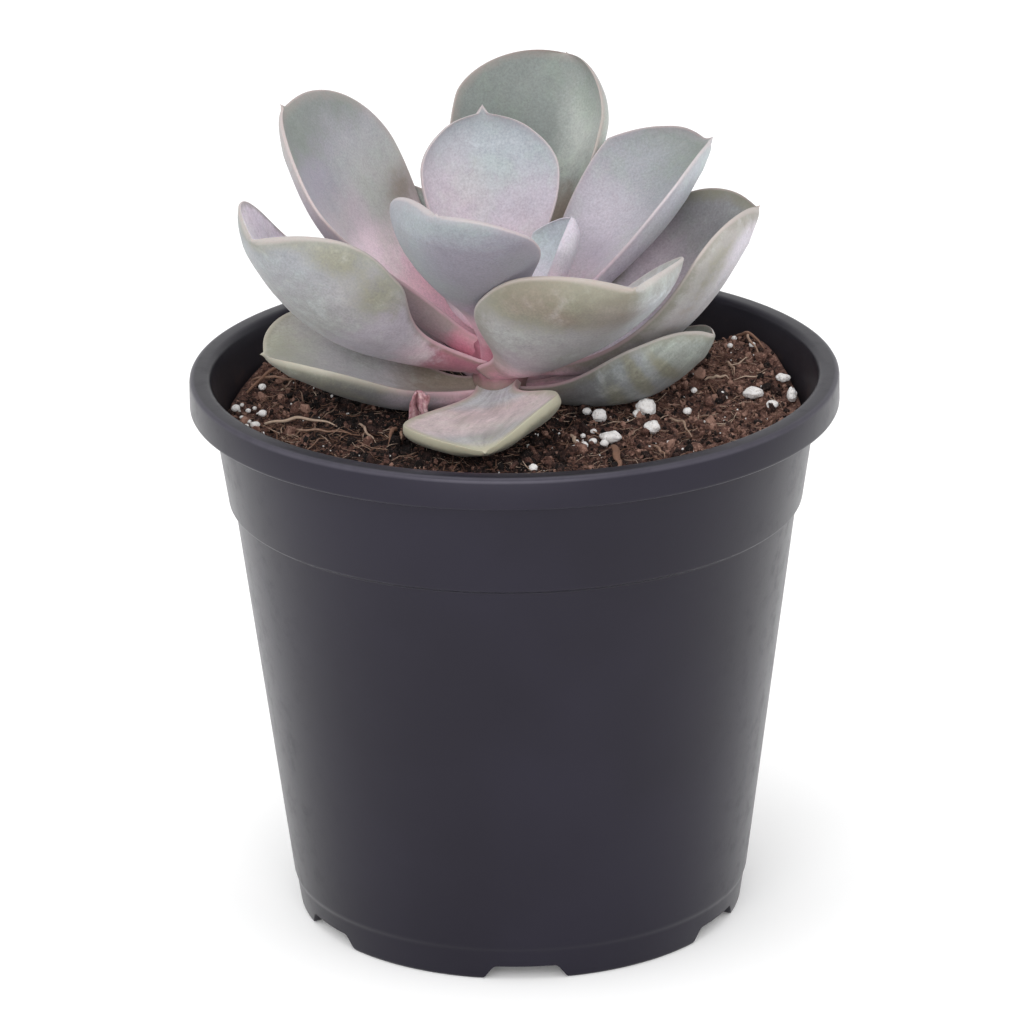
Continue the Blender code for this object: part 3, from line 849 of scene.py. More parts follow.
# The frost laid over its far half is partly pale bloom and partly painted light, on the half that faces
# up towards the light.
FRONT_RIGHT = Skin(((0.0, Tint.ROSE), (0.4, Tint.LILAC), (1.0, Tint.PALE_BLUE)),
                   ((0.0, Tint.DEEP_ROSE), (0.14, Tint.ROSE), (0.28, Tint.MAUVE), (0.45, Tint.STONE),
                    (0.64, Tint.STONE), (0.82, Tint.BRONZE)), margin_width=0.45, half=Tint.FROST,
                   half_weight=1.0, half_span=(0.45, 2.0), tone=(1.4, 0.96), border=Tint.OLIVE,
                   border_width=6.0, border_weight=0.6, scuffed=0.9,
                   marks=(Mark(MarkKind.OLIVE, Side.LOWER, 0.80, -0.66, 0.16, 0.36, 1.0),
                          Mark(MarkKind.OLIVE, Side.LOWER, 0.66, -0.86, 0.12, 0.25, 0.7),
                          Mark(MarkKind.UMBER, Side.LOWER, 0.78, -0.88, 0.14, 0.24, 1.1),
                          Mark(MarkKind.UMBER, Side.LOWER, 0.77, -0.48, 0.06, 0.14, 0.9)))
BACK_TALL = Skin(((0.0, Tint.DEEP_ROSE), (0.3, Tint.UMBER), (0.52, Tint.UMBER), (0.66, Tint.SAGE),
                  (1.0, Tint.SAGE)), PALE_UNDER, margin=Tint.TAN, half=Tint.PALE_SAGE, half_weight=-1.0,
                 half_span=(0.60, 0.88), border_width=2.2, border_weight=0.4, scuffed=0.2)
# Its upper side turns slate towards the tip: painted shade in its hollow behind the right tall leaf.
RIGHT_OUTER = Skin(((0.0, Tint.DEEP_ROSE), (0.3, Tint.LILAC), (0.55, Tint.MAUVE), (0.85, Tint.SLATE),
                    (1.0, Tint.SLATE)),
                   ((0.0, Tint.ROSE), (0.25, Tint.MAUVE), (0.6, Tint.STONE), (1.0, Tint.LILAC)),
                   tone=(1.4, 1.28), border=Tint.OLIVE, border_width=3.2, border_weight=0.75,
                   scuffed=0.7,
                   marks=(Mark(MarkKind.OLIVE, Side.LOWER, 0.76, -0.80, 0.2, 0.14, 0.8),
                          Mark(MarkKind.UMBER, Side.LOWER, 0.45, -0.7, 0.2, 0.25, 0.6)))
# The maroon at the foot of its lower side is painted shade in the crevice by the stem.
LEFT_OUTER = Skin(((0.0, Tint.ROSE), (0.3, Tint.MAUVE), (0.8, Tint.LILAC), (1.0, Tint.LILAC)),
                  ((0.0, Tint.MAROON), (0.15, Tint.MAROON), (0.24, Tint.PINK), (0.36, Tint.LILAC),
                   (0.50, Tint.LILAC), (0.64, Tint.STONE), (1.0, Tint.BLUE_GREY)), tone=(1.9, 0.89),
                  border=Tint.OLIVE, border_width=1.3, border_weight=0.5, scuffed=0.9,
                  marks=(Mark(MarkKind.OLIVE, Side.LOWER, 0.88, 0.82, 0.08, 0.20, 0.95),
                         Mark(MarkKind.OLIVE, Side.LOWER, 0.65, 0.84, 0.13, 0.22, 0.9),
                         Mark(MarkKind.UMBER, Side.LOWER, 0.54, 0.88, 0.08, 0.14, 0.45),
                         Mark(MarkKind.OLIVE, Side.LOWER, 0.97, 0.1, 0.03, 0.6, 0.5)))
# On its upper side the umber at the foot is painted shade under the left outer leaf, and the tone of
# 1.34 is painted light lifting the shade that leaf casts on the rest; the slate on its lower side is
# painted shade.
LEFT_LOW = Skin(((0.0, Tint.UMBER), (0.22, Tint.UMBER), (0.42, Tint.STONE), (0.6, Tint.STONE),
                 (1.0, Tint.MOSS)),
                ((0.0, Tint.ROSE), (0.25, Tint.MAUVE), (0.5, Tint.SLATE), (1.0, Tint.MOSS)),
                margin=Tint.CREAM, margin_width=0.65, tone=(1.34, 1.0), border=Tint.OLIVE,
                border_width=1.6, border_weight=0.5, scuffed=0.8,
                marks=(Mark(MarkKind.OLIVE, Side.LOWER, 0.65, 0.8, 0.25, 0.3, 0.6),
                       Mark(MarkKind.OLIVE, Side.UPPER, 0.92, 0.0, 0.12, 0.7, 0.5)))
# The slate on its lower side is painted shade on the underside.
RIGHT_LOW = Skin(HIDDEN_LOW.upper, ((0.0, Tint.UMBER), (0.30, Tint.SLATE), (0.60, Tint.BLUE_GREY),
                                    (0.8, Tint.GREY_GREEN), (1.0, Tint.GREY_GREEN)), tone=(1.0, 0.9),
                 border=Tint.OLIVE, border_weight=0.5, scuffed=1.0, streaked=1.0,
                 marks=(Mark(MarkKind.OLIVE, Side.LOWER, 0.61, -0.60, 0.045, 0.5, 1.2),
                        Mark(MarkKind.OLIVE, Side.LOWER, 0.46, -0.3, 0.06, 0.6, 1.0),
                        Mark(MarkKind.OLIVE, Side.LOWER, 0.75, -0.50, 0.04, 0.4, 1.1)))
DROOPING = Skin(((0.0, Tint.FROST), (0.16, Tint.FROST), (0.34, Tint.DUSTY_PINK),
                 (0.62, Tint.DUSTY_PINK), (0.85, Tint.STONE), (1.0, Tint.YELLOW_GREEN)),
                ((0.0, Tint.ROSE), (0.3, Tint.YELLOW_GREEN), (1.0, Tint.OLIVE)),
                margin=Tint.YELLOW_GREEN, margin_width=0.7, tone=(1.06, 0.9), border=Tint.YELLOW_GREEN,
                border_width=2.2, border_weight=0.85, scuffed=0.9, streaked=1.0,
                marks=(Mark(MarkKind.UMBER, Side.UPPER, 0.45, -0.25, 0.12, 0.25, 0.45),
                       Mark(MarkKind.OLIVE, Side.UPPER, 0.82, 0.15, 0.14, 0.5, 0.5)))

LEAVES = (
    Leaf("leaf_heart_tip", LAVENDER, HEART, -70, 110.8, (68, 74, 78), 12, 7, cup=1.0, mucro=0.8,
         thickness=1.8),
    Leaf("leaf_heart_left", LAVENDER, HEART, 180, 109.8, (52, 62, 70), 19, 12, cup=1.0, mucro=1.0,
         thickness=2.2),
    Leaf("leaf_heart_right", LAVENDER, HEART_RIGHT, 30.4, 109.0, (57, 54.7, 82.5), 23.2, 15.1, 0.723,
         cup=1.28, roll=-0.8, twist=-1.2, sweep=-12.6, lean=0.14, curl=12.6, blunt=1.2, mucro=0.9,
         thickness=2.0),
    Leaf("leaf_centre_back", LAVENDER, CENTRE_BACK, 98.5, 107.2, (61, 60.5, 78), 42.9, 29.4, 0.685,
         cup=0.85, foot_cup=0.7, roll=-0.6, twist=3.9, sweep=-5, lean=0.11, curl=-2.7, blunt=1.9,
         shoulder=0.57, mucro=3.0),
    Leaf("leaf_centre_front", LAVENDER, CENTRE_FRONT, -97.5, 107.3, (70.3, 33.9, 67.2), 54, 30.9, 0.803,
         cup=0.71, roll=19.7, twist=-27.6, sweep=-16.5, lean=-0.27, curl=-6, blunt=1.94),
    Leaf("leaf_left_tall", LAVENDER, LEFT_TALL, 152.8, 104.9, (24, 56, 51.5), 58.7, 50.5, 0.67,
         cup=0.41, foot_cup=1.0, roll=12.7, twist=-27.3, sweep=20.7, lean=0.49, curl=-2.8, blunt=1.7,
         mucro=1.8, thickness=2.8),
    Leaf("leaf_right_tall", LAVENDER, RIGHT_TALL, 35.9, 105.9, (35, 39.8, 50), 52.8, 31.6, 0.759,
         cup=1.08, roll=2.9, twist=-1.9, sweep=-14.4, lean=0.15, curl=-20, blunt=1.04, mucro=2.4,
         thickness=2.8),
    Leaf("leaf_front_right", OLIVE, FRONT_RIGHT, -51.9, 103.2, (25.1, 34.9, 34.4), 44.1, 45.7, 0.554,
         cup=0.86, roll=5.3, twist=-10.5, sweep=-4.6, lean=-0.07, curl=14.8, neck=0.32, waist=1.9,
         blunt=2.44, thickness=2.8),
    Leaf("leaf_back_tall", GREY, BACK_TALL, 89, 101.4, (34.7, 43.9, 67.3), 66.3, 38.5, 0.78, cup=1.16,
         foot_cup=0.7, roll=5.2, twist=11, sweep=-35.6, lean=-0.23, curl=-3.8, blunt=1.63, mucro=0.6,
         thickness=2.9),
    Leaf("leaf_right_outer", GREY, RIGHT_OUTER, 7.2, 102.6, (-6.2, 38.3, 58.3), 54, 36.1, 0.733, cup=1,
         foot_cup=0.7, roll=19.9, twist=-15, sweep=3.5, lean=-0.25, curl=-20.2, neck=0.16, blunt=1.8,
         thickness=2.8),
    Leaf("leaf_left_outer", OLIVE, LEFT_OUTER, -171.2, 103, (19.1, 32.9, 84.1), 54.8, 46, 0.619,
         cup=0.89, foot_cup=0.33, roll=12.6, twist=-19.9, sweep=32.5, lean=0.17, curl=-45.8, neck=0.26,
         waist=2.8, blunt=3.5),
    Leaf("leaf_left_low", OLIVE, LEFT_LOW, -172, 98.4, (-3.9, 22.2, -11.2), 40.9, 26.8, 0.717, cup=0.43,
         foot_cup=0.42, roll=-14, twist=5.5, sweep=-0.3, lean=0.16, curl=-2.1, blunt=1.78,
         thickness=4.2, fullness=0.5, edge=0.3),
    Leaf("leaf_right_low", OLIVE, RIGHT_LOW, -12.2, 97.9, (1, 16.3, 62), 38.3, 28.6, 0.63, cup=0.95,
         foot_cup=0.7, roll=-4, twist=-10.9, sweep=4.8, lean=-0.09, curl=-16.7, blunt=1.85, mucro=0.8,
         thickness=2.6),
    Leaf("leaf_front_drooping", LAVENDER, DROOPING, -99.7, 98.7, (-5.6, 7, -8.7), 37.5, 29.5, 0.61,
         cup=0.39, foot_cup=0.44, roll=12.8, twist=-2.8, sweep=13.2, lean=0.04, curl=-5.4, neck=0.28,
         blunt=1.37, shoulder=0.75, thickness=3.4, fullness=0.4, edge=0.3),
    Leaf("leaf_back_right_low", GREY, HIDDEN_LOW, 38, 98.6, (0, 13, 24), 40, 23, neck=0.14,
         thickness=2.6),
    Leaf("leaf_back_low", OLIVE, HIDDEN_LOW, 83, 98.6, (0, 14, 26), 38, 22, neck=0.14, thickness=2.6),
    Leaf("leaf_back_left", GREY, HIDDEN_LOW, 128.4, 98.9, (17, 43, 57.8), 45.3, 21.5, 0.682, cup=0.76,
         roll=0.7, twist=3.5, sweep=-14.4, lean=-0.01, curl=-0.2, neck=0.14, blunt=2.3, thickness=2.6),
)


@dataclass(frozen=True)
class Stem:
    """The short thick stem that the leaves' feet grow from."""

    axis: tuple[float, float] = (-2.5, 9.0)
    radius: float = 5.3
    top: float = 112.0
    foot: float = 72.0
    heart_heights: tuple[float, ...] = (107.0, 110.6, 111.7)
    heart_reach: tuple[float, ...] = (4.8, 2.0, 1.2)
    clearance: float = 0.6
    rows: int = 60
    sides: int = 48

    @staticmethod
    def seat(heading: float, height: float) -> np.ndarray:
        """Where a leaf's foot starts, for its heading and height.

        Args:
            heading: the direction in which it leaves the stem.
            height: its height.

        Returns:
            The place, in millimetres.
        """
        reach = float(np.interp(height, Stem.heart_heights, Stem.heart_reach)) + Stem.clearance
        turn = radians(heading)
        return np.array([Stem.axis[0] + reach * cos(turn), Stem.axis[1] + reach * sin(turn), height])

    def mesh(self) -> bpy.types.Mesh:
        """A lumpy turned core, ringed with the scars of old leaves.

        Returns:
            The mesh, in metres.
        """
        rings = []
        for height in np.linspace(self.foot, self.top - 0.4, self.rows):
            radius = float(np.interp(height, [self.foot, 92.0, 104.0, 107.0, 110.0, self.top],
                                     [3.0, 4.6, self.radius, self.radius - 0.4, 2.6, 0.6]))
            turn = np.linspace(0, 2 * pi, self.sides, endpoint=False)
            scar = (0.18 * np.sin(height * 2.6 + 1.5 * np.sin(turn * 2))
                    + 0.22 * np.sin(turn * 3 + height * 0.5))
            ring = radius + scar * min(1.0, radius / 4)
            rings.append(np.stack([self.axis[0] + ring * np.cos(turn),
                                   self.axis[1] + ring * np.sin(turn),
                                   np.full(self.sides, height)], 1))
        foot = np.array([*self.axis, self.foot - 1.0])
        return mesh_from("stem_core", *loft(rings, foot, np.array([*self.axis, self.top - 0.1])))

    def material(self) -> bpy.types.Material:
        """Pink skin, in part darkened as painted shade among the leaf feet, and umber towards the peat:
        painted shade above it, brown cork within it.

        Returns:
            The material.
        """
        mix = Recipe("stem_skin")
        height = mix.node("ShaderNodeSeparateXYZ", None, {0: mix.place}, "Z")
        patch = mix.noise(0.35, 4.0)
        fine = mix.noise(2.5, 3.0)
        # Umber fading in from 103 mm to 97.5 mm, just above the peat at 95 mm: painted shade among the
        # leaf feet, and brown cork below.
        low = (height / MM + (patch - 0.5) * 4.0).step(103.0, 97.5)
        # The deep rose is partly the stem's own pink and partly painted shade among the leaf feet.
        colour = mix.ramp(patch, [(0.3, (0.26, 0.10, 0.13)), (0.7, (0.40, 0.17, 0.22))])
        colour = mix.blend(low, colour, Tint.UMBER)
        return mix.finish(colour, 0.5 + fine * 0.2, mix.bump(patch * 0.6 + fine * 0.4, 0.3),
                          Subsurface_Weight=0.15, Subsurface_Radius=(1.0, 0.4, 0.4),
                          Subsurface_Scale=1.5 * MM)

    def build(self) -> None:
        """Make the stem and fix it to the frame."""
        hand_over(place("stem_core", self.mesh(), self.material()), "stem_bark", "stem")


# --- the pot -----------------------------------------------------------------------------
@dataclass(frozen=True)
class Pot:
    """A moulded nursery pot: rolled rim, band, tapering wall, notched foot and drain slots."""

    rim_radius: float = 60.0
    rim_top: float = 104.8
    band_foot: float = 80.5
    foot_radius: float = 41.5
    base_underside: float = 3.5
    base_top: float = 5.0
    steps: int = 288
    notches: int = 6
    first_notch: float = -89.0
    notch_foot: float = 16.6
    notch_crown: float = 10.8
    notch_height: float = 2.8
    slot_start: float = 24.0
    slot_length: float = 10.0
    slot_width: float = 3.4
    sharp_angle: float = 38.0

    def profile(self) -> list[tuple[float, float]]:
        """Half section as (radius, height), from the floor's middle out, up, over and down.

        Returns:
            The section's points, in millimetres.
        """
        lip = self.rim_radius - 4.4
        top = self.rim_top
        sharp = [
            (0.0, self.base_top, 0.0), (self.foot_radius - 1.0, self.base_top, 1.2),
            (50.5, self.band_foot - 1.7, 1.5), (51.9, self.band_foot - 0.1, 1.0),
            (54.5, top - 7.3, 4.0), (lip - 0.2, top - 2.6, 1.5), (lip + 0.6, top - 0.25, 1.0),
            (self.rim_radius - 0.15, top - 0.35, 1.0), (self.rim_radius - 0.1, top - 6.3, 0.6),
            (self.rim_radius - 1.5, top - 6.5, 0.4),
            (self.rim_radius - 1.8, top - 3.1, 0.6), (lip + 1.0, top - 3.3, 0.5),
            (55.6, top - 7.4, 2.0), (53.15, self.band_foot + 0.1, 0.35),
            (52.1, self.band_foot - 0.45, 0.3), (42.8, 6.8, 0.5), (42.4, 5.9, 0.4),
            (self.foot_radius, 0.0, 0.7), (self.foot_radius - 3.2, 0.0, 0.5),
            (self.foot_radius - 3.5, self.base_underside, 0.5), (0.0, self.base_underside, 0.0)]
        return rounded(sharp)

    def cutter(self, name: str, outline: Sequence[tuple[float, float]], axis: Vector,
               reach: tuple[float, float]) -> bpy.types.Object:
        """A prism that cuts the pot.

        Args:
            name: the cutter's name.
            outline: its section, as points across and up (or along and across for a slot).
            axis: X for a radial cut, Z for an upward one.
            reach: where it starts and ends along the axis.

        Returns:
            A helper object, to be removed.
        """
        size = len(outline)
        if axis.x:
            ends = [[(at, across, up) for across, up in outline] for at in reach]
        else:
            ends = [[(along, across, at) for along, across in outline] for at in reach]
        faces = [tuple(range(size)), tuple(range(size, 2 * size))]
        faces += [(i, (i + 1) % size, size + (i + 1) % size, size + i) for i in range(size)]
        return place(name, mesh_from(name, np.array(ends[0] + ends[1]), faces, smooth=False))

    def cut_tree(self) -> bpy.types.NodeTree:
        """Geometry Nodes: repeats two cutters round the axis and takes them from the shell.

        Returns:
            The tree.
        """
        tree = Graph("Notched foot", {"Notch": "NodeSocketObject", "Slot": "NodeSocketObject",
                                      "Count": "NodeSocketInt", "First": "NodeSocketFloat",
                                      "Finish": "NodeSocketMaterial"})
        hub = tree.node("GeometryNodePoints", None, {"Count": tree.given("Count")})
        turn = tree.maths("DIVIDE", 2 * pi, tree.given("Count"))
        turn = tree.maths("MULTIPLY", tree.node("GeometryNodeInputIndex"), turn)
        turn = tree.maths("ADD", turn, tree.given("First"))
        turn = tree.node("ShaderNodeCombineXYZ", None, {2: turn})
        shell = tree.given("Geometry")
        for name in ("Notch", "Slot"):
            shape = tree.node("GeometryNodeObjectInfo", None, {"Object": tree.given(name)}, "Geometry")
            stood = tree.node("GeometryNodeInstanceOnPoints", None,
                              {"Points": hub, "Instance": shape, "Rotation": turn})
            solid = tree.node("GeometryNodeRealizeInstances", None, {0: stood})
            shell = tree.node("GeometryNodeMeshBoolean", {"operation": "DIFFERENCE", "solver": "EXACT"},
                              {"Mesh 1": shell, "Mesh 2": solid})
        shell = tree.node("GeometryNodeRealizeInstances", None, {0: shell})
        return tree.end(tree.node("GeometryNodeSetMaterial", None,
                                  {"Geometry": shell, "Material": tree.given("Finish")}))

    def mesh(self, finish: bpy.types.Material) -> bpy.types.Mesh:
        """The finished shell, in its material.

        Args:
            finish: the material.

        Returns:
            The mesh, in metres.
        """
        outline = bpy.data.meshes.new("pot_outline")
        points = [(radius * MM, 0.0, height * MM) for radius, height in self.profile()]
        outline.from_pydata(points, [(i, i + 1) for i in range(len(points) - 1)], [])
        shell = place("pot_shell", outline)
        screw = shell.modifiers.new("Turn", "SCREW")
        screw.steps = screw.render_steps = self.steps
        screw.use_merge_vertices = True
        screw.merge_threshold = MERGE_AXIS
        shell = place("pot_shell", mesh_tidied(baked(shell, "pot_shell")))
        flank = [(self.notch_foot / 2 - (self.notch_foot - self.notch_crown) / 2 * share,
                  self.notch_height * (1 - cos(pi * share)) / 2)
                 for share in (0.0, 0.15, 0.3, 0.5, 0.7, 0.85, 1.0)]
        flank = [(self.notch_foot / 2, -1.0), *flank]
        notch = self.cutter("notch", flank + [(-across, up) for across, up in reversed(flank)],
                            Vector((1, 0, 0)), (self.foot_radius - 7.0, self.foot_radius + 4.0))
        end = self.slot_width / 2
        arc = [radians(angle) for angle in range(-90, 91, 20)]
        far = self.slot_start + self.slot_length - self.slot_width
        outline = [(far + end * cos(a), end * sin(a)) for a in arc]
        outline += [(self.slot_start - end * cos(a), -end * sin(a)) for a in arc]
        slot = self.cutter("slot", outline, Vector((0, 0, 1)), (1.0, 8.0))
        run(shell, self.cut_tree(), {"Notch": notch, "Slot": slot, "Count": self.notches,
                                     "First": radians(self.first_notch), "Finish": finish})
        mesh = baked(shell, "pot")
        for helper in (notch, slot):
            bpy.data.objects.remove(helper, do_unlink=True)
        mesh.polygons.foreach_set("use_smooth", [True] * len(mesh.polygons))
        mesh.set_sharp_from_angle(angle=radians(self.sharp_angle))
        return mesh

    def material(self) -> bpy.types.Material:
        """Charcoal polypropylene: satin, faintly mottled, a little peat dust inside, and a painted
        highlight along the rim's outer top crease.

        Returns:
            The material.
        """
        mix = Recipe("pot_plastic")
        cloud = mix.noise(0.02, 3.0, 0.5)
        grain = mix.noise(3.0, 2.0, 0.6)
        scuff = mix.noise(0.22, 5.0, 0.7)
        split = mix.node("ShaderNodeSeparateXYZ", None, {0: mix.place})
        x, y, z = (Signal(mix, split.socket.node.outputs[axis]) for axis in range(3))
        radius = ((x * x + y * y) ** 0.5) / MM
        height = z / MM
        wall = 52.0 + (height - 80.0) * 0.135
        inside = (radius - wall).step(0.8, 0.2) * height.step(82.0, 86.0)
        colour = mix.blend(cloud.step(0.35, 0.65), (0.0055, 0.0047, 0.0088), (0.0080, 0.0070, 0.0130))
        colour = mix.blend(inside * 0.7, colour, (0.024, 0.021, 0.025))
        dusty = inside * height.step(103.0, 95.0) * scuff.step(0.50, 0.70)
        colour = mix.blend(dusty * 0.6, colour, (0.075, 0.048, 0.040))
        # A pale line along the rim's outer top crease: a painted highlight.
        crease = ((radius - (self.rim_radius - 0.5)) ** 2 + (height - (self.rim_top - 0.7)) ** 2) ** 0.5
        rub_wear_and_painted_highlight = crease.step(0.8, 0.3) * (0.8 + scuff.step(0.35, 0.60) * 0.2)
        colour = mix.blend(rub_wear_and_painted_highlight * 0.8, colour, (0.048, 0.045, 0.058))
        roughness = 0.31 + scuff.step(0.45, 0.75) * 0.08 + (grain - 0.5) * 0.06 + inside * 0.2
        height_map = grain * 0.5 + scuff * 0.5
        return mix.finish(colour, roughness, mix.bump(height_map, 0.05, 0.35), Specular_IOR_Level=0.27,
                          Specular_Tint=(0.91, 0.87, 1.0, 1.0))

    def build(self) -> None:
        """Make the pot and fix it to the frame."""
        finish = self.material()
        hand_over(place("pot_moulded", self.mesh(finish), finish), "pot_plastic", "pot")


def rounded(corners: Sequence[tuple[float, float, float]], parts: int = 4) -> list[tuple[float, float]]:
    """Round a section's corners.

    Args:
        corners: across, up and corner radius of each point.
        parts: how many chords each rounding has.

    Returns:
        The section's points.
    """
    line = []
    for i, (x, y, radius) in enumerate(corners):
        if not radius:
            line.append((x, y))
            continue
        here = Vector((x, y))
        back = Vector(corners[i - 1][:2]) - here
        ahead = Vector(corners[i + 1][:2]) - here
        trim = min(radius, back.length * 0.45, ahead.length * 0.45)
        start = here + back.normalized() * trim
        end = here + ahead.normalized() * trim
        for step in range(parts + 1):
            t = step / parts
            point = start * (1 - t) ** 2 + here * 2 * t * (1 - t) + end * t ** 2
            line.append((point.x, point.y))
    return line


def mesh_tidied(mesh: bpy.types.Mesh) -> bpy.types.Mesh:
    """Merge doubled points and turn every face outwards.

    Args:
        mesh: the mesh, which is changed.

    Returns:
        The same mesh.
    """
    shape = bmesh.new()
    shape.from_mesh(mesh)
    bmesh.ops.remove_doubles(shape, verts=shape.verts, dist=MERGE_SEAM)
    bmesh.ops.recalc_face_normals(shape, faces=shape.faces)
    shape.to_mesh(mesh)
    shape.free()
    return mesh


# --- geometry nodes ----------------------------------------------------------------------
class Graph:
    """A Geometry Nodes tree under construction."""

    def __init__(self, name: str, inputs: dict[str, str]) -> None:
        """Start a tree that takes a geometry and these named inputs.

        Args:
            name: the tree's name.
            inputs: the socket type of each input, by name.
        """
        self.tree = bpy.data.node_groups.new(name, "GeometryNodeTree")
        self.tree.interface.new_socket("Geometry", in_out="INPUT", socket_type="NodeSocketGeometry")
        for label, kind in inputs.items():
            self.tree.interface.new_socket(label, in_out="INPUT", socket_type=kind)
        self.tree.interface.new_socket("Geometry", in_out="OUTPUT", socket_type="NodeSocketGeometry")
        self.entry = self.tree.nodes.new("NodeGroupInput")

    def given(self, name: str) -> bpy.types.NodeSocket:
        """The group's input of this name."""
        return self.entry.outputs[name]

    def node(self, kind: str, settings: dict | None = None, inputs: dict | None = None,
             output: int | str = 0) -> bpy.types.NodeSocket:
        """Add a node and return one of its outputs.

        Args:
            kind: the node's type.
            settings: its properties, set first.
            inputs: values or sockets for its inputs, by name or number.
            output: the output to return.

        Returns:
            The output socket.
        """
        made = self.tree.nodes.new(kind)
        for key, value in (settings or {}).items():
            setattr(made, key, value)
        for key, value in (inputs or {}).items():
            if isinstance(value, bpy.types.NodeSocket):
                self.tree.links.new(value, made.inputs[key])
            else:
                made.inputs[key].default_value = value
        return made.outputs[output]

    def maths(self, operation: str, first: object, second: object) -> bpy.types.NodeSocket:
        """Add a Math node."""
        return self.node("ShaderNodeMath", {"operation": operation}, {0: first, 1: second})

    def end(self, geometry: bpy.types.NodeSocket) -> bpy.types.NodeTree:
        """Join the result to the group's output and return the tree.

        Args:
            geometry: the result.

        Returns:
            The tree.
        """
        out = self.tree.nodes.new("NodeGroupOutput")
        self.tree.links.new(geometry, out.inputs[0])
        return self.tree


def run(thing: bpy.types.Object, tree: bpy.types.NodeTree, values: dict[str, object]) -> None:
    """Add a tree to an object as a modifier and set its inputs by their identifiers.

    Args:
        thing: the object.
        tree: the tree.
        values: its inputs' values, by name.
    """
    modifier = thing.modifiers.new(tree.name, "NODES")
    modifier.node_group = tree
    for item in tree.interface.items_tree:
        if item.item_type == "SOCKET" and item.in_out == "INPUT" and item.name in values:
            modifier[item.identifier] = values[item.name]


SPIN_SEED, SIZE_SEED, TONE_SEED = 5, 11, 23
LYING_TILT = 0.35
SMALL_SHARE = 2.2


@dataclass(frozen=True)
class Strewn:
    """Small things strewn over the soil by Geometry Nodes, one plain mesh in the end."""

    name: str
    mask: str
    per_cm2: float
    smallest: float
    largest: float
    seed: int
    lying: bool = False
    lift: float = 0.0

    def tree(self) -> bpy.types.NodeTree:
        """The scattering tree.

        Returns:
            A tree with the mask, sizes and seed as named inputs.
        """
        graph = Graph(self.name, {"Shapes": "NodeSocketCollection", "Density": "NodeSocketFloat",
                                  "Smallest": "NodeSocketFloat", "Largest": "NodeSocketFloat",
                                  "Lift": "NodeSocketFloat", "Seed": "NodeSocketInt",
                                  "Finish": "NodeSocketMaterial"})
        where = graph.node("GeometryNodeInputNamedAttribute", {"data_type": "FLOAT"},
                           {"Name": self.mask})
        density = graph.maths("MULTIPLY", where, graph.given("Density"))
        points = graph.node("GeometryNodeDistributePointsOnFaces", {"distribute_method": "RANDOM"},
                            {"Mesh": graph.given("Geometry"), "Density": density,
                             "Seed": graph.given("Seed")})
        tilt = LYING_TILT if self.lying else pi
        spin = graph.node("FunctionNodeRandomValue", {"data_type": "FLOAT_VECTOR"},
                          {0: (-tilt, -tilt, 0.0), 1: (tilt, tilt, 2 * pi), "Seed": SPIN_SEED})
        size = graph.node("FunctionNodeRandomValue", {"data_type": "FLOAT"},
                          {2: 0.0, 3: 1.0, "Seed": SIZE_SEED}, 1)
        size = graph.maths("POWER", size, SMALL_SHARE)
        span = graph.maths("SUBTRACT", graph.given("Largest"), graph.given("Smallest"))
        size = graph.maths("ADD", graph.given("Smallest"), graph.maths("MULTIPLY", size, span))
        shapes = graph.node("GeometryNodeCollectionInfo", None,
                            {"Collection": graph.given("Shapes"), "Separate Children": True,
                             "Reset Children": True})
        stood = graph.node("GeometryNodeInstanceOnPoints", None,
                           {"Points": points, "Instance": shapes, "Pick Instance": True,
                            "Rotation": spin, "Scale": size})
        up = graph.maths("MULTIPLY", size, graph.given("Lift"))
        up = graph.node("ShaderNodeCombineXYZ", None, {2: up})
        stood = graph.node("GeometryNodeTranslateInstances", None,
                           {"Instances": stood, "Translation": up, "Local Space": False})
        tone = graph.node("FunctionNodeRandomValue", {"data_type": "FLOAT"},
                          {2: 0.0, 3: 1.0, "Seed": TONE_SEED}, 1)
        stood = graph.node("GeometryNodeStoreNamedAttribute",
                           {"data_type": "FLOAT", "domain": "INSTANCE"},
                           {"Geometry": stood, "Name": "tone", "Value": tone})
        solid = graph.node("GeometryNodeRealizeInstances", None, {0: stood})
        return graph.end(graph.node("GeometryNodeSetMaterial", None,
                                    {"Geometry": solid, "Material": graph.given("Finish")}))

    def build(self, ground: bpy.types.Mesh, shapes: Sequence[bpy.types.Mesh],
              material: bpy.types.Material, slot: str) -> None:
        """Strew the shapes over a copy of the ground and fix the result to the frame.

        Args:
            ground: the soil's mesh, with the mask attribute.
            shapes: unit shapes, one of which is picked for each point.
            material: the finish.
            slot: the record's material slot.
        """
        helpers = bpy.data.collections.new(f"{self.name}_shapes")
        for number, shape in enumerate(shapes):
            helpers.objects.link(bpy.data.objects.new(f"{self.name}_{number}", shape))
        thing = place(f"{self.name}_ground", ground.copy())
        run(thing, self.tree(), {"Shapes": helpers, "Density": self.per_cm2 * CM2_PER_M2,
                                 "Smallest": self.smallest, "Largest": self.largest,
                                 "Lift": self.lift * MM, "Seed": self.seed, "Finish": material})
        mesh = baked(thing, self.name)
        for shape in list(helpers.objects):
            bpy.data.objects.remove(shape, do_unlink=True)
        bpy.data.collections.remove(helpers)
        hand_over(place(self.name, mesh, material), slot)


# --- the soil and what lies on it --------------------------------------------------------
@dataclass(frozen=True)
class Mound:
    """A soft heap: its middle in plan, its height there and how far it spreads."""

    x: float
    y: float
    height: float
    spread: float

    def at(self, x: float | np.ndarray, y: float | np.ndarray) -> float | np.ndarray:
        """Its height over a place or over many."""
        power = exp if isinstance(x, float) else np.exp
        return self.height * power(-((x - self.x) ** 2 + (y - self.y) ** 2) / self.spread)


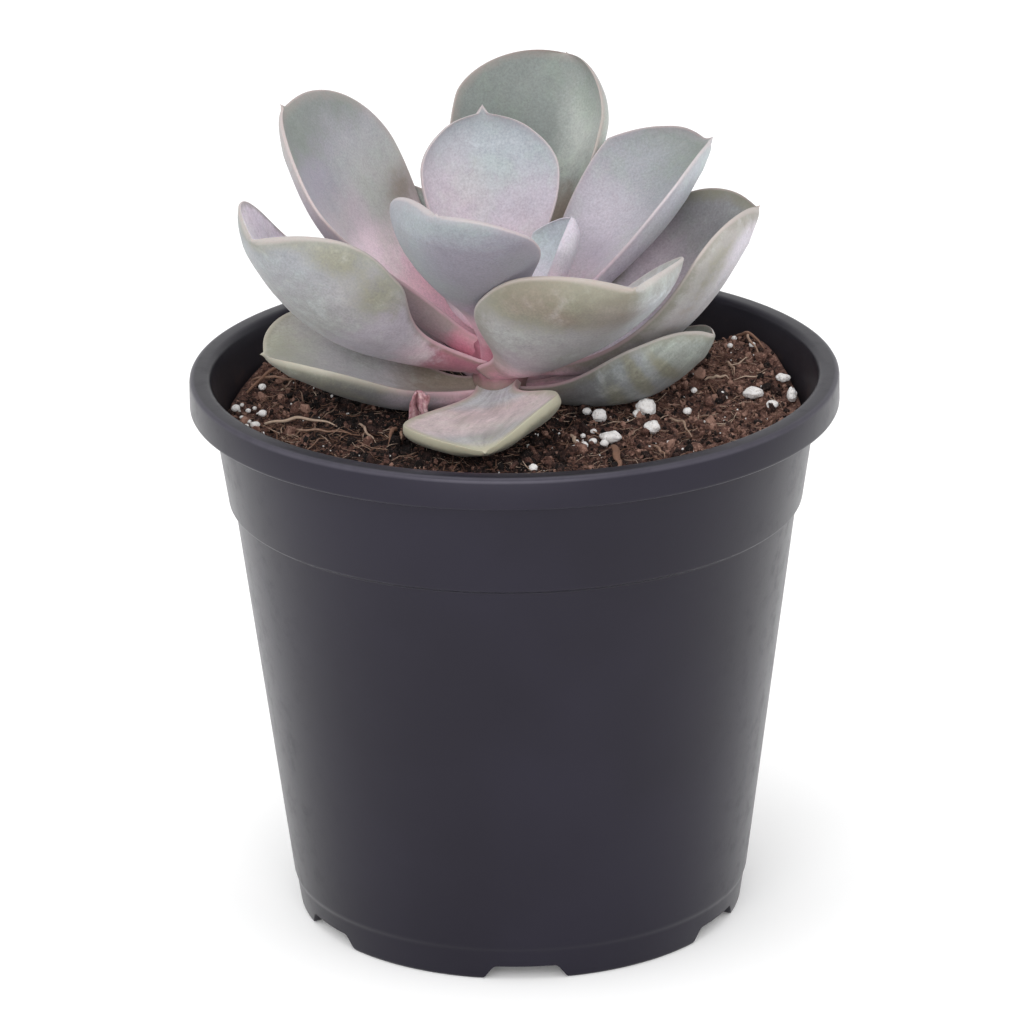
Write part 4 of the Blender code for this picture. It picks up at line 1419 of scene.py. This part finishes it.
@dataclass(frozen=True)
class Soil:
    """The peat: one crumbly plug, strewn with crumbs, fibres and small perlite.

    mounds are the heaps of its surface, and thickets the places where fibres lie thick.
    stem_clear and wall_clear are how far loose crumbs keep from the stem and the pot, and
    fibre_clear how far fibres do; sparse is how thickly fibres lie outside the thickets.
    """

    level: float = 95.2
    brink: float = 53.2
    foot_radius: float = 39.2
    foot: float = 5.4
    side: tuple[tuple[float, float], ...] = ((51.2, 79.0), (45.6, 40.0))
    chamfer: tuple[float, float] = (1.2, 1.0)
    mounds: tuple[Mound, ...] = (Mound(46.0, 26.0, 5.2, 160.0), Mound(-44.0, 24.0, 2.2, 160.0))
    thickets: tuple[Mound, ...] = (Mound(-45, 16, 1.0, 90), Mound(-38, -12, 0.8, 120),
                                   Mound(42, 22, 0.8, 120))
    stem_clear: float = 7.0
    wall_clear: float = 0.6
    fibre_clear: float = 3.6
    sparse: float = 0.45
    rings: int = 120
    sides: int = 400

    def height(self, x: float, y: float) -> float:
        """Height of the settled surface: nearly level, with two mounds at the back.

        Args:
            x: place in plan, to the right.
            y: place in plan, to the back.

        Returns:
            The height, in millimetres.
        """
        height = self.level
        for mound in self.mounds:
            height += mound.at(float(x), float(y))
        return height + 0.3 * sin(x * 0.21 + 1.0) * cos(y * 0.17)

    def surface(self, x: float, y: float) -> float:
        """Height with its clods and crumbs.

        Args:
            x: place in plan, to the right.
            y: place in plan, to the back.

        Returns:
            The height, in millimetres.
        """
        flat = Vector((x, y, 0.0))
        clods = noise.noise(flat / 7.0) * 1.1
        pits = min(noise.voronoi(flat / 3.1)[0][0], 0.7) * -1.2 + 0.4
        fine = min(noise.voronoi(flat / 1.25 + Vector((9, 4, 0)))[0][0], 0.7) * -0.7 + 0.25
        edge = max(0.0, (hypot(x, y) - self.brink + 3.0) / 3.0)
        return self.height(x, y) + (clods + pits + fine) * (1.0 - 0.7 * edge)

    def mesh(self) -> bpy.types.Mesh:
        """The closed plug with its masks for what is strewn on it.

        Returns:
            The mesh, in metres.
        """
        turn = np.linspace(0, 2 * pi, self.sides, endpoint=False)
        unit = np.stack([np.cos(turn), np.sin(turn)], 1)
        rings = []
        for radius in np.linspace(0.4, self.brink, self.rings):
            flat = unit * radius
            rings.append(np.array([(x, y, self.surface(x, y)) for x, y in flat]))
        inwards, upwards = self.chamfer
        for radius, height in (*self.side, (self.foot_radius, self.foot + upwards),
                               (self.foot_radius - inwards, self.foot)):
            rings.append(np.column_stack([unit * radius, np.full(self.sides, height)]))
        points, faces = loft(rings, np.array([0.0, 0.0, self.level]), np.array([0.0, 0.0, self.foot]))
        mesh = mesh_from("soil", points, faces)
        top = np.arange(len(points)) < self.rings * self.sides
        x, y = points[:, 0], points[:, 1]
        reach = np.hypot(x, y)
        clear = np.hypot(x - Stem.axis[0], y - Stem.axis[1]) > self.stem_clear
        open_air = top & clear & (reach < self.brink - self.wall_clear)
        paint(mesh, "open", open_air * 1.0)
        thick = sum(thicket.at(x, y) for thicket in self.thickets)
        rooted = open_air * (reach < self.brink - self.fibre_clear)
        paint(mesh, "fibrous", rooted * (self.sparse + thick))
        return mesh

    @staticmethod
    def material(name: str, strewn: bool) -> bpy.types.Material:
        """Dark peat.

        Args:
            name: the material's name.
            strewn: whether it is for loose crumbs, which carry a tone each.

        Returns:
            A rough brown-black finish with reddish and pale flecks.
        """
        mix = Recipe(name)
        patch = mix.noise(0.12, 3.0)
        crumb = mix.noise(0.9, 4.0, 0.65)
        fleck = mix.noise(3.2, 2.0, 0.7)
        across = mix.node("ShaderNodeSeparateXYZ", None, {0: mix.place}, "X") / MM
        # Lighter towards the right and the far left; the darker peat between them is painted shade.
        dry = across.step(-4.0, 36.0) * 0.19 + across.step(-30.0, -46.0) * 0.15 - 0.10
        tone = crumb * 0.7 + patch * 0.3 + fleck * 0.3 - 0.18 + dry
        if strewn:
            tone = tone + (mix.attribute("tone") - 0.5) * 0.50
        colour = mix.ramp(tone, [(0.28, (0.006, 0.004, 0.004)), (0.42, (0.030, 0.016, 0.014)),
                                 (0.56, (0.110, 0.054, 0.042)), (0.74, (0.300, 0.175, 0.135))])
        colour = mix.blend(fleck.step(0.64, 0.72) * 0.6, colour, (0.40, 0.31, 0.26))
        return mix.finish(colour, 0.92, mix.bump(crumb * 0.6 + fleck * 0.4, 0.5),
                          Specular_IOR_Level=0.25)

    def build(self) -> None:
        """Make the soil, its crumbs and its fibres."""
        mesh = self.mesh()
        chance = Random(7)
        crumbs = [crumb_shape(chance) for _ in range(6)]
        fibres = [fibre_shape(chance) for _ in range(6)]
        grains = [crumb_shape(chance, 0.9) for _ in range(4)]
        loose = self.material("peat_crumb", True)
        Strewn("peat_dust", "open", 80.0, 0.3, 0.8, 3, lift=0.15).build(mesh, crumbs, loose, "peat")
        Strewn("peat_crumbs", "open", 50.0, 0.7, 1.5, 8, lift=0.2).build(mesh, crumbs, loose, "peat")
        Strewn("peat_clods", "open", 8.0, 1.4, 3.2, 4, lift=0.2).build(mesh, crumbs, loose, "peat")
        Strewn("peat_fibres", "fibrous", 52.0, 0.4, 1.3, 5, lying=True, lift=0.4).build(
            mesh, fibres, Fibre().material(), "peat")
        Strewn("perlite_specks", "open", 2.4, 0.35, 1.0, 6, lift=0.3).build(
            mesh, grains, Perlite.material("perlite_speck"), "perlite")
        hand_over(place("soil_plug", mesh, self.material("peat_packed", False)), "peat", "soil")


def crumb_shape(chance: Random, even: float = 0.55) -> bpy.types.Mesh:
    """A small angular lump about 1 mm across: the hull of a few chance points.

    Args:
        chance: the source of random numbers.
        even: how round it is, from 0 to 1.

    Returns:
        The lump, centred on the origin, in metres.
    """
    shape = bmesh.new()
    squash = Vector((1.0, chance.uniform(even, 1.0), chance.uniform(even, 1.0)))
    for _ in range(15):
        way = Vector((chance.gauss(0, 1), chance.gauss(0, 1), chance.gauss(0, 1))).normalized()
        shape.verts.new(way * squash * chance.uniform(0.4 + 0.08 * even, 0.5) * MM)
    hull = bmesh.ops.convex_hull(shape, input=shape.verts)
    spare = {part for part in hull["geom_interior"] + hull["geom_unused"]
             if isinstance(part, bmesh.types.BMVert)}
    bmesh.ops.delete(shape, geom=list(spare), context="VERTS")
    bmesh.ops.recalc_face_normals(shape, faces=shape.faces)
    mesh = bpy.data.meshes.new("crumb")
    shape.to_mesh(mesh)
    shape.free()
    return mesh


def thread(path: np.ndarray, radius: float, sides: int = 5, flat: float = 1.0
           ) -> tuple[np.ndarray, list[tuple[int, ...]]]:
    """A closed tapering thread along a path.

    Args:
        path: points of the path, in millimetres.
        radius: its radius in the middle.
        sides: how many sides it has.
        flat: its thickness over its width.

    Returns:
        The points and the faces.
    """
    ahead = np.gradient(path, axis=0)
    ahead /= np.linalg.norm(ahead, axis=1)[:, None] + 1e-9
    side = np.cross(ahead, [0.0, 0.0, 1.0])
    side /= np.linalg.norm(side, axis=1)[:, None] + 1e-9
    upward = np.cross(side, ahead)
    turn = np.linspace(0, 2 * pi, sides, endpoint=False)
    taper = np.sin(np.linspace(0.25, 1.0, len(path)) * pi * 0.92).clip(0.25)
    rings = [path[i] + radius * taper[i] * (np.cos(turn)[:, None] * side[i]
                                            + flat * np.sin(turn)[:, None] * upward[i])
             for i in range(len(path))]
    return loft(rings, path[0] - ahead[0] * radius * 0.5, path[-1] + ahead[-1] * radius * 0.5)


def fibre_shape(chance: Random) -> bpy.types.Mesh:
    """A short bent peat fibre, about 5 mm long, centred on the origin.

    Args:
        chance: the source of random numbers.

    Returns:
        The fibre, in metres.
    """
    share = np.linspace(-0.5, 0.5, 7)
    bow, hook = chance.uniform(-0.7, 0.7), chance.uniform(-0.6, 0.6)
    length = chance.uniform(3.5, 7.0)
    path = np.stack([share * length, bow * (0.25 - share ** 2) * 4 * 0.4, hook * (0.25 - share ** 2)
                     + 0.2 * np.sin(share * 9)], 1)
    return mesh_from("fibre", *thread(path, chance.uniform(0.07, 0.16), 4, chance.uniform(0.4, 1.0)))


@dataclass(frozen=True)
class Fibre:
    """Dry plant fibre, from red-brown to straw."""

    dark: Rgb = (0.060, 0.027, 0.018)
    middle: Rgb = (0.200, 0.110, 0.075)
    pale: Rgb = (0.460, 0.350, 0.270)

    def material(self) -> bpy.types.Material:
        """The finish; each fibre's tone picks its place between dark and pale.

        Returns:
            The material.
        """
        mix = Recipe("dry_fibre")
        streak = mix.noise(1.4, 3.0)
        tone = mix.attribute("tone") * 0.8 + streak * 0.4 - 0.1
        colour = mix.ramp(tone, [(0.15, self.dark), (0.55, self.middle), (0.95, self.pale)])
        return mix.finish(colour, 0.85, mix.bump(streak, 0.08), Specular_IOR_Level=0.3)


@dataclass(frozen=True)
class Grain:
    """One perlite grain: its place in plan, then its length, width and height."""

    x: float
    y: float
    size: tuple[float, float, float]
    node: str = ""


@dataclass(frozen=True)
class Perlite:
    """The white grains: the larger ones stand for CAD nodes, the smaller lie between them."""

    soil: Soil
    grains: tuple[Grain, ...] = (
        Grain(24.4, -0.6, (4.0, 3.6, 3.4), "perlite_right_large"),
        Grain(25.1, -10.6, (3.2, 2.8, 2.6), "perlite_right_front"),
        Grain(15.6, -3.2, (2.8, 2.6, 2.4), "perlite_by_front_leaf"),
        Grain(17.4, -16.2, (3.8, 2.8, 2.2), "perlite_front_flat"),
        Grain(44.2, 6.8, (3.8, 2.6, 2.3), "perlite_far_right"),
        Grain(50.0, 12.4, (2.6, 2.2, 1.8), "perlite_edge_flat"),
        Grain(51.4, 5.2, (1.9, 2.6, 3.0), "perlite_edge_tall"),
        Grain(47.6, 2.4, (2.4, 2.0, 1.6), "perlite_edge_small"),
        Grain(22.5, -1.6, (1.8, 1.7, 1.6)), Grain(13.3, 0.6, (1.8, 1.6, 1.4)),
        Grain(16.2, -18.6, (1.6, 1.5, 1.3)), Grain(14.2, -17.0, (1.6, 1.4, 1.3)),
        Grain(12.6, -18.9, (1.5, 1.4, 1.3)), Grain(10.7, -19.6, (1.4, 1.3, 1.1)),
        Grain(31.8, -1.4, (1.6, 1.5, 1.4)), Grain(3.2, -31.2, (1.7, 1.6, 1.5)),
        Grain(41.6, 28.6, (1.2, 1.1, 1.0)), Grain(44.7, 22.7, (1.3, 1.1, 1.0)),
        Grain(-47.1, 13.1, (1.5, 1.3, 1.2)), Grain(-51.6, 3.6, (1.7, 1.5, 1.4)),
        Grain(-47.8, -5.4, (1.9, 1.6, 1.5)), Grain(-46.7, 1.5, (1.7, 1.5, 1.3)),
        Grain(-50.6, 6.0, (0.9, 0.8, 0.8)), Grain(-49.4, 3.0, (1.1, 1.0, 0.9)),
        Grain(-50.4, -0.6, (1.0, 0.9, 0.8)), Grain(-49.0, -2.6, (0.9, 0.8, 0.7)),
        Grain(-48.2, 4.6, (0.8, 0.8, 0.7)), Grain(-49.4, -5.2, (1.0, 0.9, 0.8)),
        Grain(-46.2, -9.4, (0.8, 0.8, 0.7)), Grain(-45.2, -12.8, (0.9, 0.8, 0.8)),
        Grain(14.4, -10.8, (1.2, 1.0, 0.9)), Grain(12.4, -13.2, (1.0, 0.9, 0.9)),
        Grain(15.8, -13.6, (0.9, 0.9, 0.8)), Grain(11.2, -16.4, (0.9, 0.8, 0.8)),
        Grain(38.6, 8.2, (1.0, 0.9, 0.9)), Grain(33.4, 10.4, (1.2, 1.0, 1.0)),
        Grain(40.6, 24.6, (1.0, 1.0, 0.9)))

    def grain_mesh(self, grain: Grain, seed: int) -> tuple[np.ndarray, list[tuple[int, ...]]]:
        """A lumpy grain full of small pits, resting on the soil.

        Args:
            grain: its place and size.
            seed: an offset that gives it its own lumps.

        Returns:
            The points and the faces.
        """
        shape = bmesh.new()
        bmesh.ops.create_icosphere(shape, subdivisions=4 if grain.node else 3, radius=0.5)
        base = np.array([corner.co for corner in shape.verts])
        faces = [tuple(corner.index for corner in side.verts) for side in shape.faces]
        shape.free()
        size = np.array(grain.size)
        swell = 1 + 0.26 * lumps(base * size, 1.3, seed) + 0.14 * lumps(base * size, 0.55, seed + 3)
        swell -= 0.05 * np.abs(lumps(base * size, 0.25, seed + 5))
        lift = self.soil.height(grain.x, grain.y) + size[2] * 0.42 + 0.2
        return base * size * swell[:, None] * 0.97 + [grain.x, grain.y, lift], faces

    @staticmethod
    def material(name: str) -> bpy.types.Material:
        """Chalky white with fine pits and a trace of soil.

        Args:
            name: the material's name.

        Returns:
            The material.
        """
        mix = Recipe(name)
        pit = mix.node("ShaderNodeTexVoronoi", None, {"Vector": mix.place, "Scale": 2.2 / MM},
                       "Distance")
        fine = mix.noise(2.4, 4.0, 0.7)
        soil = mix.noise(0.7, 4.0, 0.7)
        colour = mix.ramp(fine * 0.6 + pit * 0.5,
                          [(0.2, (0.46, 0.42, 0.40)), (0.55, (0.78, 0.76, 0.75))])
        colour = mix.blend(soil.step(0.60, 0.72) * 0.45, colour, (0.30, 0.22, 0.18))
        return mix.finish(colour, 0.9, mix.bump(pit * 0.6 + fine * 0.4, 0.18), Subsurface_Weight=0.1,
                          Subsurface_Radius=(1.0, 0.9, 0.8), Subsurface_Scale=0.5 * MM)

    def build(self) -> None:
        """Make the large grains and the small ones, one piece each."""
        finish = self.material("perlite_grain")
        for name, chosen in (("perlite_large", [g for g in self.grains if g.node]),
                             ("perlite_small", [g for g in self.grains if not g.node])):
            made = [self.grain_mesh(grain, seed) for seed, grain in enumerate(chosen)]
            thing = place(name, mesh_from(name, *joined(made)), finish)
            hand_over(thing, "perlite", *[grain.node for grain in chosen if grain.node])


def joined(made: Sequence[tuple[np.ndarray, list[tuple[int, ...]]]]
           ) -> tuple[np.ndarray, list[tuple[int, ...]]]:
    """Put several skins, each points and faces, into one.

    Args:
        made: the skins.

    Returns:
        The points and the faces.
    """
    points, faces, start = [], [], 0
    for some, sides in made:
        points.append(some)
        faces += [tuple(start + corner for corner in side) for side in sides]
        start += len(some)
    return np.vstack(points), faces


@dataclass(frozen=True)
class Strand:
    """A root, stick or flake laid over the peat.

    plan holds the points that it passes over. tone is 0 when dark and 1 when pale, arch how
    far its middle stands off the peat, and flat its thickness over its width.
    """

    plan: tuple[tuple[float, float], ...]
    radius: float
    tone: float
    arch: float = 0.6
    flat: float = 1.0


@dataclass(frozen=True)
class Litter:
    """The larger loose things on the peat: dry roots, a stick, bark and a withered leaf foot."""

    soil: Soil
    strands: tuple[Strand, ...] = (
        Strand(((-46, -3.4), (-39.6, -2.6), (-32, -6.2)), 0.30, 0.95, 0.9),
        Strand(((-41, -7.0), (-36, -9.5), (-30.5, -9.0)), 0.24, 0.7),
        Strand(((-28.5, -5.0), (-27.5, -9.0), (-25.6, -13.9)), 0.26, 0.85),
        Strand(((-21.6, -7.8), (-23.2, -15.4)), 0.42, 0.55, 1.0),
        Strand(((-20.4, -9.0), (-21.0, -15.0)), 0.30, 0.75, 0.8),
        Strand(((28.4, -3.7), (31, -8.0), (32.3, -13.8)), 0.24, 0.8),
        Strand(((35.8, 14.8), (40.0, 14.0)), 0.28, 0.9),
        Strand(((39.8, 18.9), (41.2, 15.2)), 0.30, 0.8),
        Strand(((25.4, -19.0), (27.1, -24.3)), 0.28, 0.7),
        Strand(((17.9, -20.1), (18.4, -26.0), (18.8, -31.2)), 0.75, 0.5, 0.5, 0.35),
        Strand(((10.2, -12.2), (11.4, -19.0)), 0.42, 0.9, 0.4, 0.5),
        Strand(((-50.0, 12.0), (-45.0, 17.5), (-42.0, 22.7)), 0.34, 0.5, 1.2),
        Strand(((-49.0, 17.0), (-44.0, 14.0), (-38.5, 15.0)), 0.26, 0.65, 1.4),
        Strand(((41.4, 29.4), (47.0, 21.6)), 0.34, 0.55, 1.2),
        Strand(((43.6, 28.6), (44.0, 23.4), (46.0, 18.0)), 0.28, 0.75, 1.5),
        Strand(((13.0, 20.5), (17.0, 22.0)), 0.5, 0.95, 0.3, 0.5))
    strand_rings: int = 22
    strand_sides: int = 7
    scrap_at: tuple[float, float] = (-17.5, -4.5)
    scrap_width: float = 4.6
    scrap_height: float = 7.2
    scrap_thickness: float = 0.35
    scrap_rows: int = 28

    def laid(self, strand: Strand) -> tuple[np.ndarray, list[tuple[int, ...]]]:
        """The points and faces of one strand, laid over the peat.

        Args:
            strand: the strand.

        Returns:
            The points and the faces.
        """
        share = np.linspace(0, 1, self.strand_rings)
        knots = np.linspace(0, 1, len(strand.plan))
        x = np.interp(share, knots, [point[0] for point in strand.plan])
        y = np.interp(share, knots, [point[1] for point in strand.plan])
        x += 0.15 * np.sin(share * 11 + strand.radius * 40)
        y += 0.20 * np.sin(share * 8 + strand.radius * 70)
        z = np.array([self.soil.height(a, b) for a, b in zip(x, y)]) + strand.radius + 0.1
        z += strand.arch * np.sin(share * pi) + 0.15 * np.sin(share * 17)
        return thread(np.stack([x, y, z], 1), strand.radius, self.strand_sides, strand.flat)

    def roots(self) -> bpy.types.Object:
        """The dry roots, the stick and the bark flakes, as one piece.

        Returns:
            The object.
        """
        skins = [self.laid(strand) for strand in self.strands]
        mesh = mesh_from("roots", *joined(skins))
        paint(mesh, "tone", np.concatenate([np.full(len(points), strand.tone)
                                            for strand, (points, _) in zip(self.strands, skins)]))
        return place("roots_and_sticks", mesh, Fibre().material())

    def scrap(self) -> bpy.types.Object:
        """The withered leaf foot: a thin, deeply creased sheet that stands in the peat.

        Returns:
            The object.
        """
        size = self.scrap_rows
        x0, y0 = self.scrap_at
        ground = self.soil.height(x0, y0) - 0.2
        points = []
        for i in range(size):
            for j in range(size):
                up, across = i / (size - 1), j / (size - 1) - 0.5
                spread = self.scrap_width * (1.0 - 0.40 * up + 0.08 * sin(9 * up))
                fold = 0.9 * cos(7.5 * across + 1.2 * up) + 0.35 * sin(17 * across + 6 * up)
                points.append((x0 + across * spread + 0.25 * sin(8 * up), y0 + fold - 0.6 * up * up,
                               ground + up * self.scrap_height * (1 - 0.35 * abs(across) ** 1.5)))
        faces = [(i * size + j, i * size + j + 1, (i + 1) * size + j + 1, (i + 1) * size + j)
                 for i in range(size - 1) for j in range(size - 1)]
        thing = place("scrap_sheet", mesh_from("scrap", np.array(points), faces))
        thicken = thing.modifiers.new("Thicken", "SOLIDIFY")
        thicken.thickness = self.scrap_thickness * MM
        thicken.offset = 0.0
        mesh = mesh_tidied(baked(thing, "scrap"))
        mix = Recipe("withered_foot")
        patch = mix.noise(0.9, 4.0, 0.6)
        fine = mix.noise(4.0, 3.0, 0.6)
        colour = mix.ramp(patch, [(0.3, (0.24, 0.10, 0.11)), (0.5, (0.46, 0.25, 0.28)),
                                  (0.7, (0.68, 0.50, 0.50))])
        finish = mix.finish(colour, 0.7, mix.bump(patch * 0.5 + fine * 0.5, 0.25),
                            Subsurface_Weight=0.1, Subsurface_Radius=(1.0, 0.5, 0.4),
                            Subsurface_Scale=0.8 * MM)
        return place("withered_foot", mesh, finish)

    def build(self) -> None:
        """Make both pieces and fix them to the frame."""
        hand_over(self.roots(), "peat")
        hand_over(self.scrap(), "withered", "withered_scrap")


# --- the studio --------------------------------------------------------------------------
@dataclass(frozen=True)
class Softbox:
    """One square softbox; power is in watts."""

    name: str
    at: Point
    side: float
    power: float
    facing: Point = (0.0, 0.0, 90.0)

    def hang(self) -> None:
        """Hang the softbox, turned to what it faces."""
        data = bpy.data.lights.new(self.name, "AREA")
        data.size = self.side * MM
        data.energy = self.power
        lamp = bpy.data.objects.new(self.name, data)
        lamp.location = Vector(self.at) * MM
        way = Vector(self.facing) - Vector(self.at)
        lamp.rotation_euler = way.to_track_quat("-Z", "Y").to_euler()
        bpy.context.scene.collection.objects.link(lamp)


@dataclass(frozen=True)
class Studio:
    """A plain pale floor, soft light and a long lens looking slightly down."""

    softboxes: tuple[Softbox, ...] = (
        Softbox("softbox_front", (-150.0, -1350.0, 480.0), 1300.0, 17.0),
        Softbox("softbox_top", (-100.0, 100.0, 1500.0), 1100.0, 4.0),
        Softbox("softbox_left", (-1300.0, -400.0, 700.0), 1600.0, 6.4),
        Softbox("softbox_right", (1300.0, -400.0, 700.0), 1600.0, 4.6))
    sky: float = 0.85
    aim_height: float = 58.8
    distance: float = 1200.0
    elevation: float = 21.0
    roll: float = 0.72
    aim_right: float = -0.76
    aim_up: float = 16.44
    lens: float = 226.0
    sensor: float = 36.0
    clip: tuple[float, float] = (0.05, 50.0)
    floor_span: float = 9000.0
    floor_tone: float = 0.98
    floor_glow: float = 0.05

    def camera(self) -> None:
        """Place the camera."""
        tilt, roll = radians(self.elevation), radians(self.roll)
        ahead = Vector((0.0, cos(tilt), -sin(tilt)))
        up = Vector((0.0, sin(tilt), cos(tilt)))
        right = Vector((1.0, 0.0, 0.0))
        centre = Vector((0.0, 0.0, self.aim_height))
        eye = centre - ahead * self.distance
        target = centre + right * self.aim_right + up * self.aim_up
        back = (eye - target).normalized()
        top = right * sin(roll) + up * cos(roll)
        across = top.cross(back).normalized()
        top = back.cross(across)
        turn = Matrix((across, top, back)).transposed().to_4x4()
        data = bpy.data.cameras.new("camera")
        data.lens = self.lens
        data.sensor_width = self.sensor
        data.clip_start, data.clip_end = self.clip
        camera = bpy.data.objects.new("camera", data)
        camera.matrix_world = Matrix.Translation(eye * MM) @ turn
        bpy.context.scene.collection.objects.link(camera)
        bpy.context.scene.camera = camera

    def floor(self) -> None:
        """Lay the floor."""
        half = self.floor_span / 2
        corners = np.array([(x * half, y * half, 0.0) for x, y in ((-1, -1), (1, -1), (1, 1), (-1, 1))])
        mix = Recipe("floor")
        finish = mix.finish((self.floor_tone,) * 3, 0.8, Specular_IOR_Level=0.1,
                            Emission_Strength=self.floor_glow)
        floor = place("floor", mesh_from("floor", corners, [(0, 1, 2, 3)], smooth=False), finish)

    def build(self) -> None:
        """Set up camera, floor and light."""
        self.camera()
        self.floor()
        for softbox in self.softboxes:
            softbox.hang()
        world = bpy.data.worlds.new("studio_white")
        world.use_nodes = True
        sky = world.node_tree.nodes["Background"]
        sky.inputs["Color"].default_value = (1.0, 1.0, 1.0, 1.0)
        sky.inputs["Strength"].default_value = self.sky
        scene = bpy.context.scene
        scene.world = world
        scene.view_settings.view_transform = "Standard"


def main() -> None:
    """Build the whole visual model."""
    logging.basicConfig(level=logging.INFO, format="%(name)s %(message)s")
    Studio().build()
    Pot().build()
    soil = Soil()
    soil.build()
    Perlite(soil).build()
    Litter(soil).build()
    Stem().build()
    for number, leaf in enumerate(LEAVES):
        leaf.build(float(number + 1))


if __name__ == "__main__":
    main()
